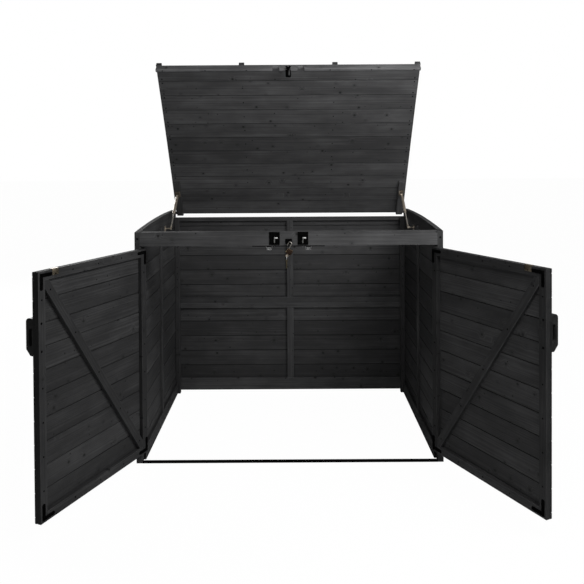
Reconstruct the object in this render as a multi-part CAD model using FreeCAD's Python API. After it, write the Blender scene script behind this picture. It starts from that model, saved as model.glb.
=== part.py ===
import FreeCAD, Part
import math
import os
from FreeCAD import Vector

# Wheelie bin store for two large bins, with two gates and a lid on gas struts.
# Sizes in millimetres. X is to the right, Y is into the store from the front face of the posts and Z is up.
# Every solid is moved by SHIFT_Y at the end, so that the origin is in the middle of the threshold bar.

# Overall sizes
WIDTH = 1560.0
DEPTH = 1080.0
THRESHOLD_DEPTH = 30.0
SHIFT_Y = -THRESHOLD_DEPTH / 2

# Sides
POST_WIDTH = 29.0
POST_DEPTH = 45.0
BOARD_FACE = 754.0
BOARD_THICK = 13.0
TRIM_THICK = WIDTH / 2 - BOARD_FACE - BOARD_THICK
INNER_STILE_THICK = 14.0
ARCH_FRONT_Z = 1176.0
ARCH_REAR_Z = 1203.0
ARCH_RISE = 12.5
TRIM_HIGH = 45.0
BOARD_COVER = 98.0
SIDE_TOP_SEAM = 1093.0
SIDE_BOTTOM = 15.0
GROOVE = 2.5

# Back wall
BACK_FRONT = 1048.0
BACK_RAIL_THICK = 20.0
BACK_TOP = 1154.0
BACK_SPLIT = 588.0
BACK_COVER = 97.0
CORNER_POST = 29.0

# Front rail and its hardware
POST_EDGE = WIDTH / 2 - POST_WIDTH
RAIL_BOTTOM = 1105.0
RAIL_TOP = 1175.0
STRIP_THICK = 5.0
BOLT_X = 72.0
BOLT_Y = 10.0
BOLT_RADIUS = 4.0
BOLT_TRAVEL = 22.0
FIT = 0.05
BAR_SIDES = 8
KNUCKLE_SIDES = 12
BOLT_TIP_Z = 1098.5
BOLT_NECK_Z = 1144.2
NECK_RADIUS = 3.5
SLOT_LOW = 1117.0
SLOT_HIGH = 1148.5
CATCH_X = 100.0

# Gates: s runs along the leaf from the hinge pin, t goes in from the outer face
PIN_X = 750.0
PIN_Y = -4.0
LEAF_START = 1.0
LEAF_END = 747.0
LEAF_BOTTOM = 70.0
LEAF_TOP = 1096.0
CLADDING = 11.5
LEAF_THICK = 31.0
LEAF_FRAME = 39.0
LEFT_SWING = 112.6
RIGHT_SWING = 115.9
KNUCKLE_RADIUS = 3.8
HINGE_HEIGHT = 75.0
HINGE_CENTRES = (200.0, 966.0)
PIN_RADIUS = 2.0
HANDLE_S = 731.0
HANDLE_Z = 828.0
HANDLE_LONG = 154.0
HANDLE_GAP = 74.0
HANDLE_REACH = 40.0
HANDLE_WIDE = 22.0
GRIP_THICK = 13.0
PLATE_THICK = 10.0

# Lid: u runs forward along its underside from the rear end, n is up from the underside
PIVOT_Y = 1054.0
PIVOT_Z = 1185.0
PIVOT_FORWARD = 17.0
PIVOT_BELOW = 10.0
LID_OPEN = 54.2
LID_CLOSED = -1.1
LID_LENGTH = 1079.0
LID_HALF = 747.5
LID_RISE = 10.0
LID_BOARD = 15.0
LID_COVER = 99.4
LID_REAR_BOARD = 106.0
BATTEN_WIDE = 30.0
BATTEN_HIGH = 25.0
BATTEN_XS = (736.5, 266.0)
FASCIA_THICK = 19.0
FASCIA_BELOW = 35.0
FASCIA_ABOVE = 14.2
BLOCK_LENGTH = 265.0
BLOCK_THICK = 20.0
BLOCK_X = (700.0, 740.0)

# Gas struts
STRUT_X = 720.0
STRUT_LOW = (694.0, 1120.0)
STRUT_HIGH_U = 180.0
STRUT_HIGH_BELOW = 38.0
STRUT_CYLINDER = (12.0, 168.0)
STRUT_RADIUS = 9.0
ROD_RADIUS = 4.0
EYE_RADIUS = 8.0
EYE_SIDES = 16
SHAFT_SIDES = 20
PIN_SIDES = 16
RING_SIDES = 24
STUD_RADIUS = 4.0

# Hasp, staple and padlock
STRAP_WIDTH = 31.0
STRAP_LENGTH = 52.0
STRAP_THICK = 2.5
KNUCKLE_N = -37.0
KNUCKLE_OUT = 5.0
HASP_KNUCKLE = 4.0
HASP_PIN = 1.8
STAPLE_Z = 1126.0
LOOP_X = 6.0
LOOP_THICK = 5.0
LOCK_X = 2.0
LOCK_Y = -14.0
LOCK_Z = 1075.0
LOCK_TILT = 30.0
LOCK_WIDTH = 30.0
LOCK_HEIGHT = 26.0
LOCK_DEPTH = 13.0
SHACKLE_RADIUS = 2.5
SHACKLE_BEND = 8.0
FITTED_BOW = 7.0
SPARE_BOW = 6.5
HOLE_DOWN = 13.0


def box(x0, x1, y0, y1, z0, z1):
    """A block between two corners."""
    low = Vector(min(x0, x1), min(y0, y1), min(z0, z1))
    return Part.makeBox(abs(x1 - x0), abs(y1 - y0), abs(z1 - z0), low)


def rod(radius, start, end):
    """A round bar between two points."""
    start = Vector(*start)
    line = Vector(*end) - start
    return Part.makeCylinder(radius, line.Length, start, line)


def face_of(edges):
    """A flat face inside edges that join up."""
    return Part.Face(Part.Wire(Part.__sortEdges__(edges)))


def extrude_x(points, x0, x1):
    """A polygon of (y, z) points drawn out along X."""
    loop = [Vector(x0, y, z) for y, z in points]
    return Part.Face(Part.makePolygon(loop + loop[:1])).extrude(Vector(x1 - x0, 0, 0))


def extrude_y(points, y0, y1):
    """A polygon of (x, z) points drawn out along Y."""
    loop = [Vector(x, y0, z) for x, z in points]
    return Part.Face(Part.makePolygon(loop + loop[:1])).extrude(Vector(0, y1 - y0, 0))


def mirrored(shape):
    """The same shape on the other side of the store."""
    return shape.mirror(Vector(0, 0, 0), Vector(1, 0, 0))


def both(shape):
    """A shape with its mirror image."""
    return [shape, mirrored(shape)]


def cut(shape, tools):
    """A shape less several others."""
    for tool in tools:
        shape = shape.cut(tool)
    return shape


def union(shapes):
    """One solid from several that overlap or touch."""
    whole = shapes[0]
    for shape in shapes[1:]:
        whole = whole.fuse(shape)
    return whole.removeSplitter()


def seams(low, high, first, step):
    """Heights of the edges of a stack of boards with a seam at first."""
    edges = [low]
    z = first - step * math.floor((first - low) / step)
    while z < high - 1:
        if z > low + 1:
            edges.append(z)
        z += step
    return edges + [high]


def board(x0, x1, y0, y1, z0, z1, across="y"):
    """A level board with a small groove along each edge of both faces; across names the axis through it."""
    g = GROOVE
    a0, a1 = (y0, y1) if across == "y" else (x0, x1)
    outline = [(a0 + g, z0), (a1 - g, z0), (a1, z0 + g), (a1, z1 - g)]
    outline += [(a1 - g, z1), (a0 + g, z1), (a0, z1 - g), (a0, z0 + g)]
    if across == "y":
        return extrude_x(outline, x0, x1)
    return extrude_y(outline, y0, y1)


def section(radius, sides, at, along):
    """A many-sided ring round a point, square to a direction."""
    along = Vector(*along)
    side = along.cross(Vector(0.3, 0.5, 0.8)).normalize() * radius
    ring = []
    for i in range(sides):
        spin = FreeCAD.Rotation(along, 360.0 * i / sides)
        ring.append(Vector(*at) + spin.multVec(side))
    return Part.makePolygon(ring + ring[:1])


def bent_bar(radius, sides, points, bend, steps=3):
    """A bar through corner points, each inner corner taken round in a few short steps."""
    points = [Vector(*p) for p in points]
    path = [points[0]]
    for before, corner, after in zip(points, points[1:], points[2:]):
        back = (before - corner).normalize()
        on = (after - corner).normalize()
        half = back.getAngle(on) / 2
        first = corner + back * (bend / math.tan(half))
        centre = corner + (back + on).normalize() * (bend / math.sin(half))
        turn = back.cross(on)
        for i in range(steps + 1):
            spin = FreeCAD.Rotation(turn, -math.degrees(math.pi - 2 * half) * i / steps)
            point = centre + spin.multVec(first - centre)
            if (point - path[-1]).Length > 0.5:
                path.append(point)
    path.append(points[-1])
    ring = section(radius, sides, path[0], path[1] - path[0])
    return Part.makePolygon(path).makePipeShell([ring], True, False, 1)


def barrel(radius, sides, start, end):
    """A many-sided bar between two points."""
    along = Vector(*end) - Vector(*start)
    return Part.Face(section(radius, sides, start, along)).extrude(along)


def hexagon(across, at, out, high):
    """A six-sided head standing on a face."""
    ring = section(across / math.sqrt(3), 6, at, out)
    return Part.Face(ring).extrude(Vector(*out).normalize() * high)


def rounded_outline(points, radii, at, plane):
    """A face in a plane across one axis, with each corner rounded to its own radius."""
    def place(p):
        a, b = p
        return Vector(a, at, b) if plane == "y" else Vector(at, a, b)
    corners = [place(p) for p in points]
    count = len(corners)
    edges = []
    ends = []
    for i, (corner, radius) in enumerate(zip(corners, radii)):
        if not radius:
            ends.append((corner, corner))
            continue
        back = (corners[i - 1] - corner).normalize()
        on = (corners[(i + 1) % count] - corner).normalize()
        reach = radius / math.tan(back.getAngle(on) / 2)
        gap = radius / math.sin(back.getAngle(on) / 2) - radius
        first = corner + back * reach
        last = corner + on * reach
        edges.append(Part.Arc(first, corner + (back + on).normalize() * gap, last).toShape())
        ends.append((first, last))
    for i in range(count):
        start = ends[i - 1][1]
        end = ends[i][0]
        if (end - start).Length > 1e-6:
            edges.append(Part.makeLine(start, end))
    return face_of(edges)


def arch_edge(x, drop=0.0):
    """The arc along the top of a side."""
    start = Vector(x, 0, ARCH_FRONT_Z - drop)
    end = Vector(x, DEPTH, ARCH_REAR_Z - drop)
    middle = (start + end) * 0.5 + Vector(0, 0, ARCH_RISE)
    return Part.Arc(start, middle, end).toShape()


def under_arch(x0, x1, bottom=0.0):
    """Everything under the arched top edge of a side."""
    arc = arch_edge(x0)
    start = Vector(x0, 0, ARCH_FRONT_Z)
    end = Vector(x0, DEPTH, ARCH_REAR_Z)
    foot_end = Vector(x0, DEPTH, bottom)
    foot_start = Vector(x0, 0, bottom)
    corners = [end, foot_end, foot_start, start]
    edges = [arc] + [Part.makeLine(a, b) for a, b in zip(corners, corners[1:])]
    return face_of(edges).extrude(Vector(x1 - x0, 0, 0))


def side_boards():
    """Level boards of the right side, the top one cut to the arch."""
    x0 = BOARD_FACE
    x1 = BOARD_FACE + BOARD_THICK
    edges = seams(SIDE_BOTTOM, SIDE_TOP_SEAM, SIDE_TOP_SEAM, BOARD_COVER)
    boards = [board(x0, x1, POST_DEPTH, DEPTH, low, high, "x") for low, high in zip(edges, edges[1:])]
    g = GROOVE
    low = SIDE_TOP_SEAM
    high = ARCH_REAR_Z + ARCH_RISE
    outline = [(x0 + g, low), (x1 - g, low), (x1, low + g), (x1, high), (x0, high), (x0, low + g)]
    top = extrude_y(outline, POST_DEPTH, DEPTH).common(under_arch(x0 - 1, x1 + 1))
    boards.append(top.cut(pivot_hole(STUD_RADIUS)))
    return boards


def front_post():
    """The right front post, its top cut to the arch."""
    x1 = WIDTH / 2
    post = box(POST_EDGE, x1, 0, POST_DEPTH, 0, ARCH_REAR_Z)
    return post.common(under_arch(POST_EDGE - 1, x1 + 1))


def rear_post():
    """The flat post on the outside of the right rear corner, up to the arched rail."""
    x0 = BOARD_FACE + BOARD_THICK
    y0 = DEPTH - POST_DEPTH
    post = box(x0, WIDTH / 2, y0, DEPTH, 0, ARCH_REAR_Z)
    lowered = under_arch(x0 - 1, WIDTH / 2 + 1)
    lowered.translate(Vector(0, 0, -TRIM_HIGH))
    return post.common(lowered)


def arch_trim():
    """The curved top rail on the outside of the right side."""
    x0 = BOARD_FACE + BOARD_THICK
    x1 = WIDTH / 2
    upper = under_arch(x0, x1, ARCH_FRONT_Z - 3 * TRIM_HIGH)
    lower = under_arch(x0 - 1, x1 + 1, ARCH_FRONT_Z - 4 * TRIM_HIGH)
    lower.translate(Vector(0, 0, -TRIM_HIGH))
    rail = upper.cut(lower).common(box(x0, x1, POST_DEPTH, DEPTH, 0, 2 * ARCH_REAR_Z))
    return cut(rail, [pivot_hole(STUD_RADIUS), pivot_hole(8.0, WIDTH / 2 - 4)])


def pivot_hole(radius, x0=BOARD_FACE - 30):
    """A hole through the right side on the lid's axis."""
    return rod(radius, (x0, PIVOT_Y, PIVOT_Z), (WIDTH / 2 + 1, PIVOT_Y, PIVOT_Z))


def side_framing():
    """The stile and the bottom rail on the inside of the right side."""
    x0 = BOARD_FACE - INNER_STILE_THICK
    rail_high = 70.0
    stile = box(x0, BOARD_FACE, 514, 542, rail_high, 1150)
    rail = box(x0, BOARD_FACE, POST_DEPTH, BACK_FRONT - CORNER_POST, 0, rail_high)
    return [stile, rail]


def carcass_nodes():
    """Every standing wooden node."""
    nodes = {}
    right = {
        "side_boards": side_boards(),
        "front_post": [front_post()],
        "rear_post": [rear_post()],
        "arch_trim": [arch_trim()],
        "side_framing": side_framing(),
    }
    for name, solids in right.items():
        nodes["right_" + name] = solids
        nodes["left_" + name] = [mirrored(s) for s in solids]
    y1 = BACK_FRONT + BACK_RAIL_THICK
    upper = seams(BACK_SPLIT, BACK_TOP, 708.0, BACK_COVER)
    lower = seams(SIDE_BOTTOM, BACK_SPLIT, 466.0, BACK_COVER)
    boards = []
    for edges in (lower, upper):
        for low, high in zip(edges, edges[1:]):
            boards.append(board(-BOARD_FACE, BOARD_FACE, y1, DEPTH, low, high))
    nodes["back_boards"] = boards
    nodes["back_top_rail"] = [box(-BOARD_FACE, BOARD_FACE, BACK_FRONT, y1, 1130, BACK_TOP)]
    lower_rail = box(-BOARD_FACE, BOARD_FACE, BACK_FRONT, y1, 556, BACK_SPLIT)
    upper_rail = box(-BOARD_FACE, BOARD_FACE, BACK_FRONT, y1, BACK_SPLIT, 626)
    nodes["back_middle_rails"] = [lower_rail, upper_rail]
    nodes["back_bottom_rail"] = [box(-BOARD_FACE, BOARD_FACE, BACK_FRONT, y1, SIDE_BOTTOM, 92)]
    spans = ((92, 556), (626, 1130))
    nodes["back_centre_stiles"] = [box(-20, 22, BACK_FRONT, y1, low, high) for low, high in spans]
    x1 = BOARD_FACE - 2
    corner = box(x1 - CORNER_POST, x1, BACK_FRONT - CORNER_POST, BACK_FRONT, 0, BACK_TOP)
    nodes["back_corner_posts"] = both(corner)
    return nodes


def bolt_space(x):
    """The bore and the open pocket that one bolt runs in."""
    bore = rod(BOLT_RADIUS + FIT, (x, BOLT_Y, RAIL_BOTTOM - 20), (x, BOLT_Y, SLOT_LOW + 1))
    pocket = box(x - 5, x + 5, -1, BOLT_Y + 5, SLOT_LOW, SLOT_HIGH + 8)
    return [bore, pocket]


def front_rail():
    """The rail over the gates, bored and pocketed for both bolts."""
    rail = box(-POST_EDGE, POST_EDGE, 0, POST_DEPTH, RAIL_BOTTOM, RAIL_TOP)
    return cut(rail, bolt_space(BOLT_X) + bolt_space(-BOLT_X))


def guide_strip():
    """The steel strip under the rail that both bolts pass through."""
    strip = box(-185, 183, 1, POST_DEPTH, RAIL_BOTTOM - STRIP_THICK, RAIL_BOTTOM)
    return cut(strip, bolt_space(BOLT_X) + bolt_space(-BOLT_X))


def bolt_plate(x):
    """A face plate with an upright slot that has round ends."""
    plate = box(x - 26.5, x + 26.5, -3, 0, 1109, 1174)
    half = NECK_RADIUS + 0.5
    middle = box(x - half, x + half, -5, 1, SLOT_LOW + half, SLOT_HIGH - half)
    ends = [rod(half, (x, -5, z), (x, 1, z)) for z in (SLOT_LOW + half, SLOT_HIGH - half)]
    return cut(plate, [middle] + ends)


def slide_bolt(x):
    """A round bolt with its bent handle out through the slot."""
    bar = rod(BOLT_RADIUS, (x, BOLT_Y, BOLT_TIP_Z), (x, BOLT_Y, BOLT_NECK_Z + 6))
    front = -9.5
    reach = 16.0
    z = BOLT_NECK_Z
    handle = bent_bar(NECK_RADIUS, BAR_SIDES, [(x, BOLT_Y, z), (x, front, z), (x + reach, front, z)], 6.0)
    return union([bar, handle])


def magnetic_catch(x):
    """A tapered catch case screwed under the strip behind the closed gates."""
    low = 1079.0
    high = RAIL_BOTTOM - STRIP_THICK
    outline = [(x - 12, low), (x + 12, low), (x + 17, high), (x - 17, high)]
    case = extrude_y(outline, LEAF_THICK + 2.6, POST_DEPTH)
    return case.cut(box(x - 8, x + 8, LEAF_THICK, LEAF_THICK + 5.6, 1084, 1090))


def staple():
    """The staple: a plate with a flat loop standing out across the store."""
    plate = box(-17, 17, -3, 0, STAPLE_Z - 13, STAPLE_Z + 13)
    x0 = LOOP_X - LOOP_THICK / 2
    low = STAPLE_Z - 11
    high = STAPLE_Z + 11
    outline = [(-1, low), (-26, low), (-26, high), (-1, high)]
    loop = rounded_outline(outline, (0, 7, 7, 0), x0, "x").extrude(Vector(LOOP_THICK, 0, 0))
    hole = [(-3, low + 5), (-21, low + 5), (-21, high - 5), (-3, high - 5)]
    eye = rounded_outline(hole, (0, 3, 3, 0), x0 - 1, "x").extrude(Vector(LOOP_THICK + 2, 0, 0))
    return union([plate, loop.cut(eye)])


def hinge_side(sign, z):
    """Half of a hinge, with its pin at s = 0.

    A sign of 1 is the gate's leaf with the middle knuckle, and -1 is the post's with both ends and the pin.
    """
    third = HINGE_HEIGHT / 3
    low = z - HINGE_HEIGHT / 2
    gap = 0.3
    plate_near = 4.3
    plate_far = 34.0 if sign > 0 else 28.0
    pieces = [box(sign * plate_near, sign * plate_far, -2, 0, low, low + HINGE_HEIGHT)]
    if sign > 0:
        spans = [(low + third + gap, low + 2 * third - gap)]
    else:
        spans = [(low, low + third - gap), (low + 2 * third + gap, low + HINGE_HEIGHT)]
    for z0, z1 in spans:
        pieces.append(barrel(KNUCKLE_RADIUS, KNUCKLE_SIDES, (0, PIN_Y, z0), (0, PIN_Y, z1)))
        pieces.append(box(0, sign * plate_near, -2, -0.05 * (sign < 0), z0, z1))
    shape = union(pieces)
    ends = ((0, PIN_Y, low), (0, PIN_Y, low + HINGE_HEIGHT))
    if sign > 0:
        return shape.cut(rod(PIN_RADIUS + FIT, *ends))
    return union([shape, barrel(PIN_RADIUS, PIN_SIDES, *ends)])


def corner_plate(s, z, ds, dz):
    """A flat angle bracket on the inner face, its corner at (s, z) and its legs along ds and dz."""
    wide = 15.0
    legs = 68.0
    nip = 4.0
    outline = [(0, 0), (legs - nip, 0), (legs, nip), (legs, wide - nip), (legs - nip, wide), (wide, wide)]
    outline += [(wide, legs - nip), (wide - nip, legs), (nip, legs), (0, legs - nip)]
    return extrude_y([(s + ds * a, z + dz * b) for a, b in outline], LEAF_THICK, LEAF_THICK + 3)


def d_handle():
    """A moulded pull on the outer face, rounded above and sloped below, with a finger gap."""
    s0 = HANDLE_S - HANDLE_WIDE / 2
    low = HANDLE_Z - HANDLE_LONG / 2
    high = HANDLE_Z + HANDLE_LONG / 2
    front = -HANDLE_REACH
    outline = [(0, low), (front + 22, low), (front, low + 26), (front, high), (0, high)]
    grip = rounded_outline(outline, (0, 8, 8, 16, 4), s0, "x").extrude(Vector(HANDLE_WIDE, 0, 0))
    gap_low = HANDLE_Z - HANDLE_GAP / 2
    gap_high = HANDLE_Z + HANDLE_GAP / 2
    far = front + GRIP_THICK
    near = -PLATE_THICK
    hole = [(near, gap_low), (far, gap_low), (far, gap_high), (near, gap_high)]
    gap = rounded_outline(hole, (2, 12, 12, 2), s0 - 1, "x").extrude(Vector(HANDLE_WIDE + 2, 0, 0))
    return grip.cut(gap)


def bolt_hole():
    """The hole in the top edge of the leaf that the slide bolt drops into."""
    s = PIN_X - BOLT_X
    return rod(BOLT_RADIUS + 0.4, (s, BOLT_Y, LEAF_TOP - BOLT_TRAVEL - 2), (s, BOLT_Y, LEAF_TOP + 1))


def brace():
    """The diagonal brace, cut to fit the corners of the frame."""
    s0 = LEAF_START + LEAF_FRAME
    s1 = LEAF_END - LEAF_FRAME
    z0 = LEAF_BOTTOM + LEAF_FRAME
    z1 = LEAF_TOP - LEAF_FRAME
    long = math.hypot(s1 - s0, z1 - z0)
    bar = box(-LEAF_FRAME, long + LEAF_FRAME, CLADDING, LEAF_THICK, -LEAF_FRAME / 2, LEAF_FRAME / 2)
    bar.rotate(Vector(0, 0, 0), Vector(0, -1, 0), math.degrees(math.atan2(z1 - z0, s1 - s0)))
    bar.translate(Vector(s0, 0, z0))
    return bar.common(box(s0, s1, 0, 2 * LEAF_THICK, z0, z1))


def catch_plate():
    """The bent plate over the top edge that meets the magnetic catch."""
    s = PIN_X - CATCH_X - 2
    upright = box(s - 18.5, s + 18.5, LEAF_THICK, LEAF_THICK + 2, LEAF_TOP - 24, LEAF_TOP + 2)
    flange = box(s - 18.5, s + 18.5, 16, LEAF_THICK + 1, LEAF_TOP, LEAF_TOP + 2)
    return union([upright, flange])


def gate_solids():
    """Every piece of one closed gate with its pin at s = 0, before it is put on its post."""
    edges = seams(LEAF_BOTTOM, LEAF_TOP, 1076.0, BOARD_COVER)
    boards = []
    for low, high in zip(edges, edges[1:]):
        plank = board(LEAF_START, LEAF_END, 0, CLADDING, low, high)
        boards.append(plank.cut(bolt_hole()) if high > LEAF_TOP - BOLT_TRAVEL - 2 else plank)
    t0 = CLADDING
    t1 = LEAF_THICK
    inner0 = LEAF_START + LEAF_FRAME
    inner1 = LEAF_END - LEAF_FRAME
    free_stile = box(inner1, LEAF_END, t0, t1, LEAF_BOTTOM, LEAF_TOP)
    hinge_stile = box(LEAF_START, inner0, t0, t1, LEAF_BOTTOM, LEAF_TOP)
    top_rail = box(inner0, inner1, t0, t1, LEAF_TOP - LEAF_FRAME, LEAF_TOP).cut(bolt_hole())
    bottom_rail = box(inner0, inner1, t0, t1, LEAF_BOTTOM, LEAF_BOTTOM + LEAF_FRAME)
    near = LEAF_START + 3.5
    far = LEAF_END - 9.5
    top = LEAF_TOP - 9.0
    bottom = LEAF_BOTTOM + 10.0
    plates = [corner_plate(far, top, -1, -1), corner_plate(near, top, 1, -1)]
    plates += [corner_plate(near, bottom, 1, 1), corner_plate(far, bottom, -1, 1)]
    return {
        "boards": boards,
        "stiles": [hinge_stile, free_stile],
        "rails": [top_rail, bottom_rail],
        "brace": [brace()],
        "corner_plates": plates,
        "catch_plate": [catch_plate()],
        "handle": [d_handle()],
        "hinge_leaves": [hinge_side(1, z) for z in HINGE_CENTRES],
    }


def gate_nodes():
    """Both gates, open as in the photograph."""
    nodes = {}
    for name, solids in gate_solids().items():
        placed = []
        for shape in solids:
            shape = shape.copy()
            shape.translate(Vector(-PIN_X, 0, 0))
            placed.append(shape)
        for side, swing in (("left", -LEFT_SWING), ("right", RIGHT_SWING)):
            turned = []
            for shape in placed:
                leaf = shape.copy() if side == "left" else mirrored(shape)
                pin = -PIN_X if side == "left" else PIN_X
                leaf.rotate(Vector(pin, PIN_Y, 0), Vector(0, 0, 1), swing)
                turned.append(leaf)
            nodes[side + "_gate_" + name] = turned
    return nodes


def post_hinges():
    """The hinge leaves and pins on both posts."""
    leaves = []
    for z in HINGE_CENTRES:
        leaf = hinge_side(-1, z)
        leaf.translate(Vector(-PIN_X, 0, 0))
        leaves += both(leaf)
    return leaves


def lid_point(u, n, x=0.0):
    """A point of the bowed lid before it is hung, with y running back from the rear end."""
    radius = (LID_LENGTH ** 2 / 4 + LID_RISE ** 2) / (2 * LID_RISE)
    half = radius * math.asin(LID_LENGTH / 2 / radius)
    angle = (half - u) / radius
    y = -LID_LENGTH / 2 + (radius + n) * math.sin(angle)
    z = LID_RISE - radius + (radius + n) * math.cos(angle)
    return Vector(x, y, z)


def lid_arc(u0, u1, n, x):
    """An arc at one height of the lid."""
    return Part.Arc(lid_point(u0, n, x), lid_point((u0 + u1) / 2, n, x), lid_point(u1, n, x)).toShape()


def lid_slab(u0, u1, n0, n1, x0, x1, groove=0.0):
    """A bowed slab of the lid, with grooved edges if asked."""
    g = groove
    edges = [lid_arc(u0 + g, u1 - g, n0, x0), lid_arc(u0 + g, u1 - g, n1, x0)]
    for u, inward in ((u0, g), (u1, -g)):
        corners = [(u + inward, n0), (u, n0 + g), (u, n1 - g), (u + inward, n1)]
        if not g:
            corners = [(u, n0), (u, n1)]
        points = [lid_point(a, b, x0) for a, b in corners]
        edges += [Part.makeLine(a, b) for a, b in zip(points, points[1:])]
    return face_of(edges).extrude(Vector(x1 - x0, 0, 0))


def hang(shape, angle=LID_OPEN):
    """Puts a lid shape on its pivots, leaning at an angle from level."""
    shape = shape.copy()
    shape.translate(Vector(0, PIVOT_FORWARD, PIVOT_BELOW))
    shape.rotate(Vector(0, 0, 0), Vector(1, 0, 0), -angle)
    shape.translate(Vector(0, PIVOT_Y, PIVOT_Z))
    return shape


def hang_point(y, z, angle):
    """Where a point of the unhung lid is when the lid leans at an angle."""
    a = math.radians(-angle)
    y += PIVOT_FORWARD
    z += PIVOT_BELOW
    return PIVOT_Y + y * math.cos(a) - z * math.sin(a), PIVOT_Z + y * math.sin(a) + z * math.cos(a)


def lid_boards():
    """Boards across the lid, the front one ripped to what is left."""
    edges = [0.0, LID_REAR_BOARD]
    while edges[-1] + LID_COVER < LID_LENGTH - 1:
        edges.append(edges[-1] + LID_COVER)
    edges.append(LID_LENGTH)
    return [lid_slab(a, b, 0, LID_BOARD, -LID_HALF, LID_HALF, GROOVE) for a, b in zip(edges, edges[1:])]


def fascia():
    """The front board of the lid, notched to clear both bolt handles."""
    y1 = -LID_LENGTH
    y0 = y1 - FASCIA_THICK
    shape = box(-LID_HALF, LID_HALF, y0, y1, -FASCIA_BELOW, FASCIA_ABOVE)
    # The ends of the boards lean a little, and the fascia is planed to meet them
    shape = shape.cut(lid_slab(LID_LENGTH - LID_COVER, LID_LENGTH, 0, LID_BOARD, -LID_HALF - 1, LID_HALF + 1))
    mouth = 18.5
    top = 13.5
    deep = 28.0
    for x in (-BOLT_X + 1, BOLT_X - 1):
        outline = [(x - mouth, -FASCIA_BELOW - 1), (x + mouth, -FASCIA_BELOW - 1)]
        outline += [(x + top, deep - FASCIA_BELOW), (x - top, deep - FASCIA_BELOW)]
        shape = shape.cut(extrude_y(outline, y0 - 1, y1 + 1))
    return shape


def corner_block():
    """The block under the right rear corner of the lid, bored for the pivot bolt."""
    block = lid_slab(0, BLOCK_LENGTH, -BLOCK_THICK, 0, *BLOCK_X)
    axis = (-PIVOT_FORWARD, -PIVOT_BELOW)
    return block.cut(rod(STUD_RADIUS + FIT, (BLOCK_X[1] - 22, *axis), (BLOCK_X[1] + 1, *axis)))


def upper_bracket():
    """The bracket under the right block with the stud for the strut's cylinder."""
    at = lid_point(STRUT_HIGH_U, 0)
    y = at.y
    z = -STRUT_HIGH_BELOW + at.z
    foot = lid_slab(STRUT_HIGH_U - 20, STRUT_HIGH_U + 20, -BLOCK_THICK - 3, -BLOCK_THICK, 702, 734)
    high = at.z - BLOCK_THICK - 1
    outline = [(y - 15, high), (y - 8, z - 9), (y + 8, z - 9), (y + 15, high)]
    lug = extrude_x(outline, 705, 708.5)
    stud = barrel(STUD_RADIUS, SHAFT_SIDES, (706, y, z), (728, y, z))
    return union([foot, lug, stud])


def lower_bracket():
    """The plate on the right side with the seat for the strut's lower stud."""
    y, z = STRUT_LOW
    outline = [(y - 20, z - 16), (y + 20, z - 16), (y + 20, z + 16), (y - 20, z + 16)]
    plate = rounded_outline(outline, (6, 6, 6, 6), BOARD_FACE - 3, "x").extrude(Vector(3, 0, 0))
    seat = hexagon(13.0, (BOARD_FACE - 6, y, z), (1, 0, 0), 4)
    return union([plate, seat])


def strut_ends():
    """The lower and upper pins of a strut as (y, z), with the lid open."""
    at = lid_point(STRUT_HIGH_U, 0)
    return STRUT_LOW, hang_point(at.y, at.z - STRUT_HIGH_BELOW, LID_OPEN)


def strut_solids():
    """The cylinder and the rod of the right strut between its pins."""
    low, high = strut_ends()
    length = math.hypot(high[0] - low[0], high[1] - low[1])
    # Built standing up from the upper pin at the origin, with the lower pin below it
    c0, c1 = STRUT_CYLINDER
    tube = rod(STRUT_RADIUS, (0, 0, -c0), (0, 0, -c1))
    neck = box(-4, 4, -5, 5, -c0, -4)
    eye = barrel(EYE_RADIUS, EYE_SIDES, (-5, 0, 0), (5, 0, 0))
    bores = [rod(STUD_RADIUS + FIT, (-9, 0, 0), (9, 0, 0))]
    bores.append(rod(ROD_RADIUS + FIT, (0, 0, -c0 - 16), (0, 0, -c1 - 1)))
    cylinder = cut(union([tube, neck, eye]), bores)
    bar = barrel(ROD_RADIUS, SHAFT_SIDES, (0, 0, -c1 + 20), (0, 0, -length))
    ball = barrel(EYE_RADIUS, EYE_SIDES, (-5, 0, -length), (5, 0, -length))
    stud = barrel(STUD_RADIUS, SHAFT_SIDES, (0, 0, -length), (BOARD_FACE - 6 - STRUT_X - 0.5, 0, -length))
    piston_rod = union([bar, ball, stud])
    lean = math.degrees(math.atan2(high[0] - low[0], high[1] - low[1]))
    for shape in (cylinder, piston_rod):
        shape.rotate(Vector(0, 0, 0), Vector(1, 0, 0), -lean)
        shape.translate(Vector(STRUT_X, high[0], high[1]))
    return cylinder, piston_rod


def pivot_bolt():
    """The bolt that the lid turns on at the right, with its six-sided spacer and sunk head."""
    axis = (PIVOT_Y, PIVOT_Z)
    shank = barrel(STUD_RADIUS, SHAFT_SIDES, (BLOCK_X[1] - 20, *axis), (WIDTH / 2 - 2, *axis))
    head = hexagon(13.0, (WIDTH / 2 - 4, *axis), (1, 0, 0), 3.5)
    spacer = hexagon(15.0, (BLOCK_X[1] + 0.4, *axis), (1, 0, 0), BOARD_FACE - BLOCK_X[1] - 0.4)
    return union([shank, head, spacer])


def knuckle_centre():
    """The hasp hinge on the unhung lid as (y, z)."""
    return -LID_LENGTH - FASCIA_THICK - KNUCKLE_OUT, KNUCKLE_N


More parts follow.
